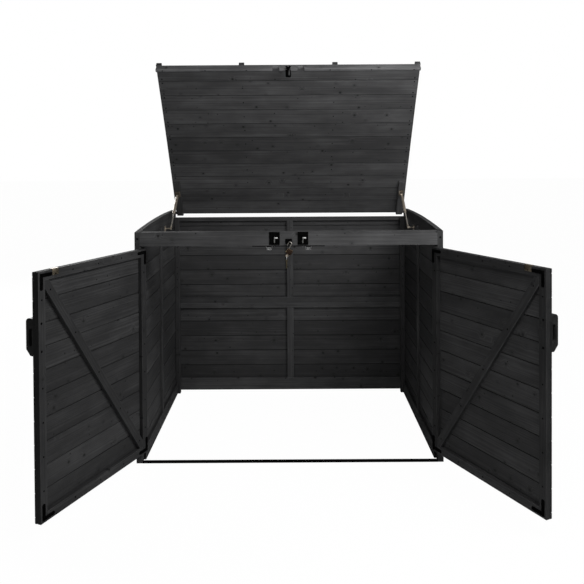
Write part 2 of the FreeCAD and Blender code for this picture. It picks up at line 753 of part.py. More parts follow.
def hasp_leaf():
    """The hasp's winged leaf on the fascia, with two outer knuckles and the pin."""
    y, z = knuckle_centre()
    face = -LID_LENGTH - FASCIA_THICK
    low = -FASCIA_BELOW + 2
    wings = [(-12, low), (12, low), (9, low + 8), (17, low + 24), (8, low + 27), (0, low + 14)]
    wings += [(-8, low + 27), (-17, low + 24), (-9, low + 8)]
    pieces = [extrude_y(wings, face - 2.5, face)]
    for x0, x1 in ((-13, -8.2), (8.2, 13)):
        pieces.append(barrel(HASP_KNUCKLE, KNUCKLE_SIDES, (x0, y, z), (x1, y, z)))
        web = [(y - 2, z), (face - 2.5, low + 3), (face, low + 3), (face, low), (y + 3, z)]
        pieces.append(extrude_x(web, x0, x1))
    pieces.append(rod(HASP_PIN, (-13, y, z), (13, y, z)))
    return union(pieces)


def hasp_strap():
    """The slotted strap hanging plumb from the hasp hinge of the open lid."""
    y, z = knuckle_centre()
    y, z = hang_point(y, z, LID_OPEN)
    inner = 7.8
    knuckle = barrel(HASP_KNUCKLE, KNUCKLE_SIDES, (-inner, y, z), (inner, y, z))
    half = STRAP_WIDTH / 2
    low = z - STRAP_LENGTH
    y0 = y - STRAP_THICK / 2
    shoulder = z - 9
    outline = [(-inner, z), (-inner, shoulder), (-half, shoulder), (-half, low)]
    outline += [(half, low), (half, shoulder), (inner, shoulder), (inner, z)]
    plate = rounded_outline(outline, (0, 0, 0, 6, 6, 0, 0, 0), y0, "y").extrude(Vector(0, STRAP_THICK, 0))
    slot = box(LOOP_X - 4.5, LOOP_X + 4.5, y - 5, y + 5, z - 41, z - 14)
    return union([plate, knuckle]).cut(slot).cut(rod(HASP_PIN + FIT, (-9, y, z), (9, y, z)))


def lock_place(shape):
    """Puts a padlock shape, drawn about its own middle, where it hangs."""
    shape = shape.copy()
    shape.rotate(Vector(0, 0, 0), Vector(0, 1, 0), LOCK_TILT)
    shape.translate(Vector(LOCK_X, LOCK_Y, LOCK_Z))
    return shape


def padlock_body():
    """The padlock's block with rounded corners, bored for the shackle and the key."""
    w = LOCK_WIDTH / 2
    h = LOCK_HEIGHT / 2
    d = LOCK_DEPTH / 2
    nip = 3.0
    outline = [(nip - w, -h), (w - nip, -h), (w, nip - h), (w, h - nip)]
    outline += [(w - nip, h), (nip - w, h), (-w, h - nip), (-w, nip - h)]
    block = extrude_y(outline, -d, d)
    holes = [barrel(SHACKLE_RADIUS, BAR_SIDES, (x, 0, h - 9), (x, 0, h + 1)) for x in (-9, 9)]
    keyway = box(-4, 4, -1.2, 1.2, -h - 1, -h + 12)
    return lock_place(cut(block, holes + [keyway]))


def shackle():
    """The open shackle, swung clear of the body and hooked through the staple."""
    leg = -9.0
    top = 38.0 + SHACKLE_BEND
    base = LOCK_HEIGHT / 2 - 9
    far = leg - 2 * SHACKLE_BEND
    corners = [(leg, 0, base), (leg, 0, top), (far, 0, top), (far, 0, top - 22)]
    return lock_place(bent_bar(SHACKLE_RADIUS, BAR_SIDES, corners, SHACKLE_BEND - 0.01))


def key_blank(bow, bow_z, tip_z, hole_z, thick=1.8):
    """A flat key with a bow, a hole and a toothed blade, drawn about its own middle line."""
    bow = Part.Face(section(bow, 16, (0, -thick / 2, bow_z), (0, 1, 0))).extrude(Vector(0, thick, 0))
    step = 1.0 if tip_z > bow_z else -1.0
    blade = box(-3, 3, -thick / 2, thick / 2, bow_z, tip_z)
    key = union([bow, blade])
    for i in range(3):
        z = tip_z - step * (4 + 4 * i)
        key = key.cut(box(2, 4, -thick, thick, z - 1, z + 1))
    return key.cut(rod(2.2, (0, -2, hole_z), (0, 2, hole_z)))


def fitted_key():
    """The key in the lock."""
    bottom = -LOCK_HEIGHT / 2
    return lock_place(key_blank(FITTED_BOW, bottom - 10, bottom + 10, bottom - HOLE_DOWN))


def key_hole():
    """The middle of the fitted key's hole as (x, z)."""
    down = LOCK_HEIGHT / 2 + HOLE_DOWN
    a = math.radians(LOCK_TILT)
    return LOCK_X - down * math.sin(a), LOCK_Z - down * math.cos(a)


def hanging_keys():
    """The flat ring through the fitted key with the spare key hanging from it."""
    x, z = key_hole()
    radius = 9.0
    wire = 0.9
    middle = z - radius
    outer = barrel(radius + wire, RING_SIDES, (x - wire, LOCK_Y, middle), (x + wire, LOCK_Y, middle))
    inner = barrel(radius - wire, RING_SIDES, (x - 2 * wire, LOCK_Y, middle), (x + 2 * wire, LOCK_Y, middle))
    ring = outer.cut(inner)
    spare = key_blank(SPARE_BOW, -2.5, -42, 0)
    spare.translate(Vector(x, LOCK_Y, z - 2 * radius))
    return ring, spare


def export(nodes):
    """Writes one file for each node, moved into the part's own frame."""
    os.makedirs("parts", exist_ok=True)
    for name, solids in sorted(nodes.items()):
        moved = []
        for shape in solids:
            for solid in shape.Solids:
                solid = solid.copy()
                solid.translate(Vector(0, SHIFT_Y, 0))
                moved.append(solid)
        shape = moved[0] if len(moved) == 1 else Part.makeCompound(moved)
        if not shape.isValid():
            raise RuntimeError(name + " is not a valid shape")
        shape.exportStep("parts/" + name + ".step")
        room = shape.BoundBox
        ends = (room.XMin, room.YMin, room.ZMin, room.XMax, room.YMax, room.ZMax)
        print(name, len(moved), [round(v, 1) for v in ends])


def print_motion():
    """Prints the places and ratios that the record repeats."""
    low, high = strut_ends()
    at = lid_point(STRUT_HIGH_U, 0)
    shut = hang_point(at.y, at.z - STRUT_HIGH_BELOW, LID_CLOSED)
    turn = LID_OPEN - LID_CLOSED
    long_open = math.hypot(high[0] - low[0], high[1] - low[1])
    long_shut = math.hypot(shut[0] - low[0], shut[1] - low[1])
    lean_open = math.degrees(math.atan2(high[1] - low[1], high[0] - low[0]))
    lean_shut = math.degrees(math.atan2(shut[1] - low[1], shut[0] - low[0]))
    print("lid turn", turn)
    print("strut pins", low, high, "axis", (high[0] - low[0]) / long_open, (high[1] - low[1]) / long_open)
    print("strut lengths", long_open, long_shut, "stroke", long_open - long_shut)
    print("cylinder turn about +X against the lid", (lean_shut - lean_open) - turn)
    pin = knuckle_centre()
    print("hasp pin", hang_point(*pin, LID_OPEN), "shut", hang_point(*pin, LID_CLOSED))
    print("key hole", key_hole())


def main():
    """Builds and writes the whole store."""
    nodes = carcass_nodes()
    nodes["front_rail"] = [front_rail()]
    nodes["threshold_bar"] = [box(-POST_EDGE, POST_EDGE, 0, THRESHOLD_DEPTH, 0, 4)]
    nodes["bolt_guide_strip"] = [guide_strip()]
    nodes["bolt_plates"] = [bolt_plate(-BOLT_X), bolt_plate(BOLT_X)]
    nodes["left_bolt"] = [slide_bolt(-BOLT_X)]
    nodes["right_bolt"] = [slide_bolt(BOLT_X)]
    nodes["magnetic_catches"] = [magnetic_catch(-CATCH_X), magnetic_catch(CATCH_X)]
    nodes["hasp_staple"] = [staple()]
    nodes["post_hinge_leaves"] = post_hinges()
    nodes["lid_pivot_bolts"] = both(pivot_bolt())
    nodes["strut_lower_brackets"] = both(lower_bracket())
    nodes.update(gate_nodes())
    nodes["lid_boards"] = [hang(s) for s in lid_boards()]
    nodes["lid_fascia"] = [hang(fascia())]
    battens = []
    for x in BATTEN_XS:
        length = LID_LENGTH + FASCIA_THICK
        half = BATTEN_WIDE / 2
        batten = lid_slab(0, length, LID_BOARD, LID_BOARD + BATTEN_HIGH, x - half, x + half)
        battens += both(batten)
    nodes["lid_battens"] = [hang(s) for s in battens]
    nodes["lid_corner_blocks"] = [hang(s) for s in both(corner_block())]
    nodes["strut_upper_brackets"] = [hang(s) for s in both(upper_bracket())]
    nodes["hasp_leaf"] = [hang(hasp_leaf())]
    nodes["hasp_strap"] = [hasp_strap()]
    cylinder, piston_rod = strut_solids()
    nodes["right_strut_cylinder"] = [cylinder]
    nodes["left_strut_cylinder"] = [mirrored(cylinder)]
    nodes["right_strut_rod"] = [piston_rod]
    nodes["left_strut_rod"] = [mirrored(piston_rod)]
    nodes["padlock_body"] = [padlock_body()]
    nodes["padlock_shackle"] = [shackle()]
    nodes["padlock_key"] = [fitted_key()]
    ring, spare = hanging_keys()
    nodes["key_ring"] = [ring]
    nodes["spare_key"] = [spare]
    export(nodes)
    print_motion()
    print(len(nodes), "nodes")


main()
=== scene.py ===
import logging
import math
import random
from collections.abc import Sequence
from dataclasses import dataclass, field
from enum import Enum

import bmesh
import bpy
from mathutils import Matrix, Vector


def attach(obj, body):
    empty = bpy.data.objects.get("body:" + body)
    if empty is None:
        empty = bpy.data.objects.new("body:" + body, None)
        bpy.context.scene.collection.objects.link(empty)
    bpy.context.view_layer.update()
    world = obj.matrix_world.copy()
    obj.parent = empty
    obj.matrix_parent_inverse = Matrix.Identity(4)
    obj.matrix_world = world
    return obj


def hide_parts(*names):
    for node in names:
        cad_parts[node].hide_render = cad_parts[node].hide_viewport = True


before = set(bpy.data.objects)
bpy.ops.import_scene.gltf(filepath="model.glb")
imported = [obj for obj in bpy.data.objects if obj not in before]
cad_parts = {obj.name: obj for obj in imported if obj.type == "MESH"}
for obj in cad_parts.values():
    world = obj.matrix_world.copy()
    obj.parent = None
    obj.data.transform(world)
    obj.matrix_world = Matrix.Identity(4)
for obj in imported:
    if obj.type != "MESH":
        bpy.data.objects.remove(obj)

LOG = logging.getLogger("bin_store")
Colour = tuple[float, float, float]
Point = tuple[float, float, float]
Pair = tuple[float, float]
Row = tuple[float, ...]
Profile = Sequence[Pair]
Material = bpy.types.Material
Socket = bpy.types.NodeSocket
Mesh = bmesh.types.BMesh

# The store's driving sizes in metres and degrees, as the CAD source has them
SHIFT_Y = -0.015
DEPTH = 1.080
PIN_X = 0.750
PIN_Y = -0.004
LEFT_SWING = 112.6
RIGHT_SWING = 115.9
LEAF_START = 0.001
LEAF_END = 0.747
LEAF_BOTTOM = 0.070
LEAF_TOP = 1.096
LEAF_THICK = 0.031
LEAF_FRAME = 0.039
LID_OPEN = 54.2
LID_PIVOT = (1.054, 1.185)
LID_FORWARD = 0.017
LID_BELOW = 0.010
LID_LONG = 1.079
LID_RISE = 0.010

# The turn of the first screw, what each next one adds to it, and after how many it starts again
FIRST_LEAN = 21.0
NEXT_LEAN = 47.0
LEANS = 5

# How near two points count as one, and a direction that no rod runs in
TOUCHING = 0.0001
ASLANT = Vector((0.3, 0.5, 0.8))

RIGHTWARD = Vector((1.0, 0.0, 0.0))
BACKWARD = Vector((0.0, 1.0, 0.0))
FORWARD = -BACKWARD
UPWARD = Vector((0.0, 0.0, 1.0))


def spot(x: float, y: float, z: float) -> Vector:
    """A point of the store, given from the front face of its posts."""
    return Vector((x, y + SHIFT_Y, z))


def grey(level: float) -> Colour:
    """A neutral colour."""
    return (level, level, level)


class Side(Enum):
    """Which side of the store a piece is on, seen from the gates."""

    LEFT = -1
    RIGHT = 1

    @property
    def word(self) -> str:
        """The side's name as the nodes spell it."""
        return self.name.lower()

    @property
    def out(self) -> Vector:
        """The way from the store's middle to that side."""
        return RIGHTWARD * self.value


class Recess(Enum):
    """The drive in a head, with the outline of such a head in shares of its height and radius."""

    CROSS = ((0.35, 1.0), (0.8, 0.82), (1.0, 0.45), (1.0, 0.0))
    PLAIN = ((0.5, 0.96), (0.9, 0.7), (1.0, 0.0))


@dataclass
class NodeSheet:
    """Lays out the nodes of one material or of the world."""

    owner: Material | bpy.types.World

    def __post_init__(self) -> None:
        """Clears the sheet."""
        self.owner.use_nodes = True
        self.owner.node_tree.nodes.clear()

    def node(self, kind: str, inputs: dict[str | int, object] | None = None,
             **settings: object) -> bpy.types.Node:
        """Adds a node.

        Args:
            kind: The node's type, less the ShaderNode that starts it.
            inputs: A socket, number, colour or vector for each input that takes one.
            settings: Properties to set on it.

        Returns:
            The new node.
        """
        tree = self.owner.node_tree
        node = tree.nodes.new("ShaderNode" + kind)
        for key, value in settings.items():
            setattr(node, key, value)
        for key, value in (inputs or {}).items():
            if isinstance(value, Socket):
                tree.links.new(value, node.inputs[key])
            else:
                node.inputs[key].default_value = value
        return node

    def place(self) -> Socket:
        """The point on the object, which stays with it as it moves."""
        return self.node("TexCoord").outputs["Object"]

    def layer(self, name: str, output: str) -> Socket:
        """A named layer of the mesh."""
        return self.node("Attribute", attribute_name=name).outputs[output]

    def math(self, kind: str, a: object, b: object = 0.0) -> Socket:
        """One step of arithmetic on two numbers or sockets."""
        return self.node("Math", {0: a, 1: b}, operation=kind).outputs[0]

    def stretch(self, at: Socket, by: Point) -> Socket:
        """Scales a place along its three axes."""
        return self.node("VectorMath", {0: at, 1: by}, operation="MULTIPLY").outputs["Vector"]

    def noise(self, at: Socket, scale: float = 1.0, detail: float = 2.0, rough: float = 0.5) -> Socket:
        """Soft noise at a place, from about 0 to 1."""
        inputs = {"Vector": at, "Scale": scale, "Detail": detail, "Roughness": rough}
        return self.node("TexNoise", inputs).outputs["Fac"]

    def blend(self, share: Socket, a: Colour | Socket, b: Colour | Socket) -> Socket:
        """Mixes a share of the second colour into the first."""
        a, b = ((*colour, 1.0) if isinstance(colour, tuple) else colour for colour in (a, b))
        return self.node("Mix", {0: share, 6: a, 7: b}, data_type="RGBA").outputs[2]

    def span(self, value: Socket, low: float, high: float, to_low: float = 0.0,
             to_high: float = 1.0) -> Socket:
        """Maps the range from low to high smoothly onto that from to_low to to_high."""
        inputs = dict(enumerate((value, low, high, to_low, to_high)))
        return self.node("MapRange", inputs, interpolation_type="SMOOTHSTEP").outputs["Result"]

    def total(self, *parts: tuple[Socket, float], base: float = 0.0) -> Socket:
        """Adds sockets to a number.

        Args:
            parts: Each socket with the share of it that counts.
            base: The number.

        Returns:
            The sum's socket.
        """
        for socket, share in parts:
            base = self.node("Math", {0: socket, 1: share, 2: base}, operation="MULTIPLY_ADD").outputs[0]
        return base

    def scatter(self, at: Socket, by: Point, channel: int) -> tuple[Socket, Socket]:
        """Scatters one spot in each cell of a flat grid.

        Args:
            at: The place.
            by: The number of cells to a metre along each axis.
            channel: Which of a cell's random numbers to give back.

        Returns:
            The distance from the nearest spot, in cells, and its cell's random number.
        """
        inputs = {"Vector": self.stretch(at, by), "Scale": 1.0}
        cells = self.node("TexVoronoi", inputs, voronoi_dimensions="2D").outputs
        return cells["Distance"], self.node("SeparateColor", {0: cells["Color"]}).outputs[channel]

    def surface(self, relief: Socket, high: float, shows: float, inputs: dict[str, object]) -> None:
        """Puts a principled shader over a relief on the output.

        Args:
            relief: The height map.
            high: How far a height of 1 stands out, in metres.
            shows: How much of the relief shows.
            inputs: The shader's other inputs.
        """
        bump = self.node("Bump", {"Strength": shows, "Distance": high, "Height": relief})
        shader = self.node("BsdfPrincipled", {**inputs, "Normal": bump.outputs["Normal"]})
        self.node("OutputMaterial", {"Surface": shader.outputs["BSDF"]})

    def seen(self, output: str, lit: Socket, shown: Socket, share: float = 1.0) -> None:
        """Shows the camera one shader while the scene is lit by another.

        Args:
            output: The type of the output node.
            lit: The shader that lights the scene and takes its shadows.
            shown: The shader that the camera sees.
            share: How much of the second one it sees.
        """
        rays = self.node("LightPath").outputs
        either = self.math("MAXIMUM", rays["Is Camera Ray"], rays["Is Transmission Ray"])
        mix = self.node("MixShader", {0: self.math("MULTIPLY", either, share), 1: lit, 2: shown})
        self.node(output, {"Surface": mix.outputs[0]})


@dataclass(frozen=True)
class StainedTimber:
    """Softwood under a near black stain, with rings, fibres, knots and pin holes.

    A span gives the ends of a range and what they map to. A noise gives its scale, detail and roughness.
    """

    name: str = "black_stained_timber"
    slot: str = "black_stained_timber"
    dark: Colour = (0.018, 0.018, 0.0185)
    light: Colour = (0.058, 0.058, 0.059)
    knot: Colour = grey(0.008)
    pit: Colour = grey(0.004)
    lift: float = 1.0
    shine: float = 0.14
    gloss_span: Row = (0.2, 0.8, 0.62, 0.78)
    depth_span: Row = (-0.25, 1.0)
    relief: Point = (0.5, 0.7, -2.0)
    relief_high: float = 0.0004
    relief_shows: float = 0.55
    ring_gap: float = 0.0052
    ring_span: Row = (-0.6, 1.0)
    fine_noise: Point = (1.0, 3.0, 0.6)
    cloud_noise: Point = (5.0, 3.0, 0.55)
    waver: float = 0.040
    waver_run: Point = (1.1, 9.0, 9.0)
    streak_run: Point = (2.2, 95.0, 95.0)
    fibre_run: Point = (7.0, 420.0, 420.0)
    cloud_run: Point = (1.0, 2.2, 2.2)
    ring_share: float = 0.20
    streak_share: float = 0.72
    fibre_share: float = 0.45
    cloud_share: float = 0.95
    tone_share: float = 0.20
    knot_cells: Point = (10.0, 11.5, 0.0)
    knot_size: Row = (0.52, 1.0, 0.0, 0.085)
    knot_least: Row = (0.004, 0.02)
    knot_core: Row = (-0.045, 0.030, 0.95, 0.0)
    knot_halo: Row = (0.03, 0.20, 0.34, 0.0)
    knot_swell: Row = (0.0, 0.30, 0.009, 0.0)
    pit_cells: Point = (13.0, 15.0, 0.0)
    pit_size: Row = (0.45, 1.0, 0.0, 0.062)
    pit_least: Row = (0.002, 0.012)
    pit_core: Row = (-0.022, 0.004, 0.92, 0.0)

    def material(self) -> Material:
        """Builds the stain over a grain that follows each piece's own length.

        Returns:
            The material, which reads the grain and tone layers that MeshStack makes.
        """
        sheet = NodeSheet(bpy.data.materials.new(self.name))
        grain = sheet.layer("grain", "Vector")
        knots, swell, pits = self._spots(sheet, grain)
        rings = self._rings(sheet, grain, swell)
        fibres = sheet.noise(sheet.stretch(grain, self.fibre_run), *self.fine_noise)
        streaks = sheet.noise(sheet.stretch(grain, self.streak_run), *self.fine_noise)
        clouds = sheet.noise(sheet.stretch(grain, self.cloud_run), *self.cloud_noise)
        middle = -0.5 * (self.streak_share + self.fibre_share + self.cloud_share)
        depth = sheet.total((rings, self.ring_share), (streaks, self.streak_share),
                            (fibres, self.fibre_share), (clouds, self.cloud_share),
                            (sheet.layer("tone", "Fac"), self.tone_share), base=middle)
        dark, light = (tuple(self.lift * c for c in colour) for colour in (self.dark, self.light))
        stain = sheet.blend(sheet.span(depth, *self.depth_span), dark, light)
        relief = sheet.total(*zip((rings, fibres, pits), self.relief))
        sheet.surface(relief, self.relief_high, self.relief_shows, {
            "Base Color": sheet.blend(pits, sheet.blend(knots, stain, self.knot), self.pit),
            "Roughness": sheet.span(streaks, *self.gloss_span),
            "Specular IOR Level": self.shine,
        })
        return sheet.owner

    def _rings(self, sheet: NodeSheet, grain: Socket, swell: Socket) -> Socket:
        """The year rings about the wood's heart.

        Args:
            sheet: The material's nodes.
            grain: The place along, across and into the piece.
            swell: How far knots push the rings out.

        Returns:
            A mask of the dense late wood.
        """
        wander = sheet.noise(sheet.stretch(grain, self.waver_run))
        _, across, into = sheet.node("SeparateXYZ", {0: grain}).outputs
        across = sheet.total((wander, self.waver), (across, 1.0), base=-self.waver / 2)
        squares = [sheet.math("POWER", part, 2.0) for part in (across, into)]
        reach = sheet.math("ADD", sheet.math("SQRT", sheet.math("ADD", *squares)), swell)
        wave = sheet.math("SINE", sheet.math("MULTIPLY", reach, 2 * math.pi / self.ring_gap))
        return sheet.span(wave, *self.ring_span)

    def _spots(self, sheet: NodeSheet, grain: Socket) -> tuple[Socket, Socket, Socket]:
        """Sparse knots, and tiny holes and nicks far apart.

        Args:
            sheet: The material's nodes.
            grain: The place along, across and into the piece.

        Returns:
            The knots' dark middles, the swelling of the rings round them, and a mask of the holes.
        """
        distance, luck = sheet.scatter(grain, self.knot_cells, 0)
        size = sheet.span(luck, *self.knot_size)
        there = sheet.span(size, *self.knot_least)
        core = sheet.span(sheet.math("SUBTRACT", distance, size), *self.knot_core)
        middle = sheet.math("MAXIMUM", core, sheet.span(distance, *self.knot_halo))
        knots = sheet.math("MULTIPLY", middle, there)
        swell = sheet.math("MULTIPLY", sheet.span(distance, *self.knot_swell), there)
        distance, luck = sheet.scatter(grain, self.pit_cells, 1)
        size = sheet.span(luck, *self.pit_size)
        hole = sheet.span(sheet.math("SUBTRACT", distance, size), *self.pit_core)
        return knots, swell, sheet.math("MULTIPLY", hole, sheet.span(size, *self.pit_least))


class Facet(Enum):
    """The kinds of face that a timber has, each with how light its stain looks, painted light and shade
    included.
    """

    FLAT = 1.0
    # Eased edges: lighter for wear, and for a painted highlight on the arris
    WORN_EDGE_AND_HIGHLIGHT = 1.45
    # Painted shade on groove faces that look down, and on the eased edge under the lid's fascia
    GROOVE_SHADE = 0.08
    # End grain: its darker stain, with painted shade on top
    END_GRAIN_AND_SHADE = 0.32
    # Painted shade on groove faces that look up, and on the fascia's end faces
    GROOVE_LIP = 0.45

    @property
    def slot(self) -> int:
        """The material slot that such faces use."""
        return list(Facet).index(self)


@dataclass(frozen=True)
class Coat:
    """A finish that varies in soft patches over a fine relief."""

    name: str
    slot: str
    colour: Colour
    worn: Colour
    rough: float = 0.5
    shine: float = 0.5
    metal: float = 0.0
    patches: Point = (60.0, 4.0, 0.6)
    worn_from_to: Pair = (0.35, 0.75)
    rough_from_to: Pair = (0.3, 0.7)
    rougher: Pair = (0.0, 0.1)
    relief: Point = (900.0, 900.0, 900.0)
    high: float = 0.0001
    shows: float = 0.5

    def material(self) -> Material:
        """Builds the finish.

        Returns:
            The material.
        """
        sheet = NodeSheet(bpy.data.materials.new(self.name))
        at = sheet.place()
        patches = sheet.noise(at, *self.patches)
        ends = [self.rough + more for more in self.rougher]
        sheet.surface(sheet.noise(sheet.stretch(at, self.relief)), self.high, self.shows, {
            "Base Color": sheet.blend(sheet.span(patches, *self.worn_from_to), self.colour, self.worn),
            "Roughness": sheet.span(patches, *self.rough_from_to, *ends),
            "Specular IOR Level": self.shine,
            "Metallic": self.metal,
        })
        return sheet.owner


@dataclass(frozen=True)
class PowderCoat(Coat):
    """Black powder coat with a fine orange peel."""

    rougher: Pair = (-0.06, 0.08)
    high: float = 0.00012


@dataclass(frozen=True)
class PlatedSteel(Coat):
    """Bare or plated steel with fine drawn lines along one axis."""

    rough: float = 0.32
    metal: float = 1.0
    patches: Point = (70.0, 4.0, 0.65)
    worn_from_to: Pair = (0.4, 0.75)
    rough_from_to: Pair = (0.3, 0.8)
    rougher: Pair = (0.0, 0.16)
    relief: Point = (40.0, 900.0, 40.0)
    high: float = 0.00008
    shows: float = 0.35


@dataclass(frozen=True)
class MouldedPlastic(Coat):
    """Plastic with the faint speckle of a textured mould."""

    patches: Point = (45.0, 3.0, 0.5)
    worn_from_to: Pair = (0.35, 0.7)
    relief: Point = (1400.0, 1400.0, 1400.0)


BLACK_STEEL = PowderCoat("black_steel", "black_steel", grey(0.0012), grey(0.0030), 0.50, 0.0)
BLACK_GRIP = PowderCoat("grip_coat", "black_steel", grey(0.010), grey(0.017), 0.42, 0.10)
ZINC = PlatedSteel("zinc_steel", "zinc_steel", (0.62, 0.62, 0.61), (0.42, 0.42, 0.41))
DULL_ZINC = PlatedSteel("dull_steel", "zinc_steel", (0.34, 0.32, 0.29), (0.20, 0.19, 0.17), 0.38)
BRIGHT_ZINC = PlatedSteel("bright_bolt_steel", "zinc_steel", (0.46, 0.46, 0.45), (0.38, 0.38, 0.37), 0.36,
                          metal=0.25)
DARK_ZINC = PlatedSteel("dull_screw_steel", "zinc_steel", grey(0.055), grey(0.03), 0.45)
BRONZE = PlatedSteel("bronze_steel", "bronze_steel", (0.25, 0.21, 0.155), (0.15, 0.125, 0.09), 0.36)
PALE_BRONZE = PlatedSteel("pale_bronze", "bronze_steel", (0.27, 0.235, 0.19), (0.18, 0.155, 0.12), 0.36,
                          metal=0.5)
STRUT_BROWN = PlatedSteel("strut_coat", "bronze_steel", (0.30, 0.26, 0.21), (0.20, 0.17, 0.14), 0.30,
                          metal=0.5)
DARK_BRONZE = PlatedSteel("bracket_coat", "bronze_steel", (0.17, 0.145, 0.115), (0.10, 0.085, 0.068), 0.45)
CHROME = PlatedSteel("polished_rod", "polished_rod", (0.30, 0.28, 0.25), (0.22, 0.205, 0.18), 0.24,
                     metal=0.45)
BRASS = PlatedSteel("brass", "brass", (0.60, 0.44, 0.19), (0.36, 0.25, 0.11), 0.30)
# The same brass, darkened: painted shade for the lock's broad faces
LOCK_FACE_SHADE = PlatedSteel("shaded_lock_face", "brass", (0.030, 0.019, 0.013), (0.018, 0.012, 0.009), 0.5)
OLIVE_KEY = PlatedSteel("dull_key", "brass", (0.06, 0.05, 0.03), (0.04, 0.033, 0.022), 0.45)
NICKEL_KEY = PlatedSteel("bright_key", "brass", (0.36, 0.31, 0.25), (0.25, 0.21, 0.17), 0.40)
# The catches: a dark case, with pale grey on its eased rim as a painted highlight
CATCH_DARK = MouldedPlastic("catch_case", "grey_plastic", grey(0.022), grey(0.016))
CATCH_RIM_HIGHLIGHT = MouldedPlastic("grey_plastic", "grey_plastic", grey(0.72), grey(0.62))

Finish = StainedTimber | Coat
MADE: dict[str, Material] = {}


def dressed(finish: Finish) -> Material:
    """The one material of a finish, built on first use.

    Args:
        finish: The finish.

    Returns:
        Its material.
    """
    if finish.name not in MADE:
        MADE[finish.name] = finish.material()
    return MADE[finish.name]


def solids_of(node: str) -> list[Mesh]:
    """Takes a CAD node apart into its solids.

    Args:
        node: The node's name.

    Returns:
        One closed mesh for each solid, in the node's order.
    """
    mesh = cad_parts[node].data
    keys = [tuple(round(c, 6) for c in v.co) for v in mesh.vertices]
    found: list[Mesh] = []
    verts: dict[Point, bmesh.types.BMVert] = {}
    open_edges: set[frozenset] = set()
    for polygon in mesh.polygons:
        corners = [keys[i] for i in polygon.vertices]
        if len(set(corners)) < 3:
            continue
        if not open_edges:
            found.append(bmesh.new())
            verts.clear()
        for place in corners:
            if place not in verts:
                verts[place] = found[-1].verts.new(place)
        ring = [verts[place] for place in corners]
        if not found[-1].faces.get(ring):
            found[-1].faces.new(ring)
        for edge in zip(corners, corners[1:] + corners[:1]):
            open_edges ^= {frozenset(edge)}
    for solid in found:
        bmesh.ops.recalc_face_normals(solid, faces=solid.faces)
    return found


def ease(solid: Mesh, width: float, steps: int = 2, least: float = 30.0) -> None:
    """Takes the sharpness off a solid's edges.

    Args:
        solid: The mesh to change.
        width: How far the rounding reaches from each edge.
        steps: The number of faces across it.
        least: The smallest angle, in degrees, that counts as an edge.
    """
    nearly_flat = math.radians(0.6)
    bmesh.ops.dissolve_limit(solid, angle_limit=nearly_flat, verts=solid.verts, edges=solid.edges)
    if not width:
        return
    corner = math.radians(least)
    sharp = [e for e in solid.edges if len(e.link_faces) == 2 and e.calc_face_angle(0.0) > corner]
    # The eased faces take material slot 1: on timber the worn edge with its painted highlight, on a piece
    # with a rim the rim's finish
    bmesh.ops.bevel(solid, geom=sharp, offset=width, offset_type="OFFSET", segments=steps, profile=0.5,
                    affect="EDGES", clamp_overlap=True, material=1)


@dataclass
class MeshStack:
    """Gathers meshes into one piece, with the material and the grain of each."""

    verts: list[Point] = field(default_factory=list)
    faces: list[list[int]] = field(default_factory=list)
    slots: list[int] = field(default_factory=list)
    grain: list[Point] = field(default_factory=list)
    tone: list[float] = field(default_factory=list)

    def take(self, solid: Mesh, slot: int | None = None, grain: list[Point] | None = None,
             tone: float = 0.0) -> None:
        """Adds a mesh and frees it.

        Args:
            solid: The mesh.
            slot: The material slot for all of it, or None to keep what it has.
            grain: The place in the timber of each of its corners.
            tone: How light the piece is, from -1 to 1.
        """
        start = len(self.verts)
        solid.verts.index_update()
        self.verts += [tuple(v.co) for v in solid.verts]
        self.grain += grain or [tuple(v.co) for v in solid.verts]
        self.tone += [tone] * len(solid.verts)
        for face in solid.faces:
            self.faces.append([start + v.index for v in face.verts])
            self.slots.append(face.material_index if slot is None else slot)
        solid.free()

    def piece(self, name: str, finishes: list[Finish], body: str, nodes: tuple[str, ...] = (),
              smooth: float = 0.0) -> bpy.types.Object:
        """Makes the piece and has it ride on a body.

        Args:
            name: The piece's name.
            finishes: One finish for each material slot.
            body: The body that it rides on.
            nodes: The CAD nodes that it stands for.
            smooth: The angle, in degrees, under which faces shade as one.

        Returns:
            The new object.
        """
        mesh = bpy.data.meshes.new(name)
        mesh.from_pydata(self.verts, [], self.faces)
        for finish in finishes:
            mesh.materials.append(dressed(finish))
        last = len(finishes) - 1
        mesh.polygons.foreach_set("material_index", [min(s, last) for s in self.slots])
        if isinstance(finishes[0], StainedTimber):
            layer = mesh.attributes.new("grain", "FLOAT_VECTOR", "POINT")
            layer.data.foreach_set("vector", [c for p in self.grain for c in p])
            tones = mesh.attributes.new("tone", "FLOAT", "POINT")
            tones.data.foreach_set("value", self.tone)
        if smooth:
            mesh.shade_smooth()
            mesh.set_sharp_from_angle(angle=math.radians(smooth))
        mesh.validate()
        mesh.update()
        piece = bpy.data.objects.new(name, mesh)
        bpy.context.scene.collection.objects.link(piece)
        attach(piece, body)
        if nodes:
            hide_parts(*nodes)
        LOG.info("%s: %d faces", name, len(self.faces))
        return piece


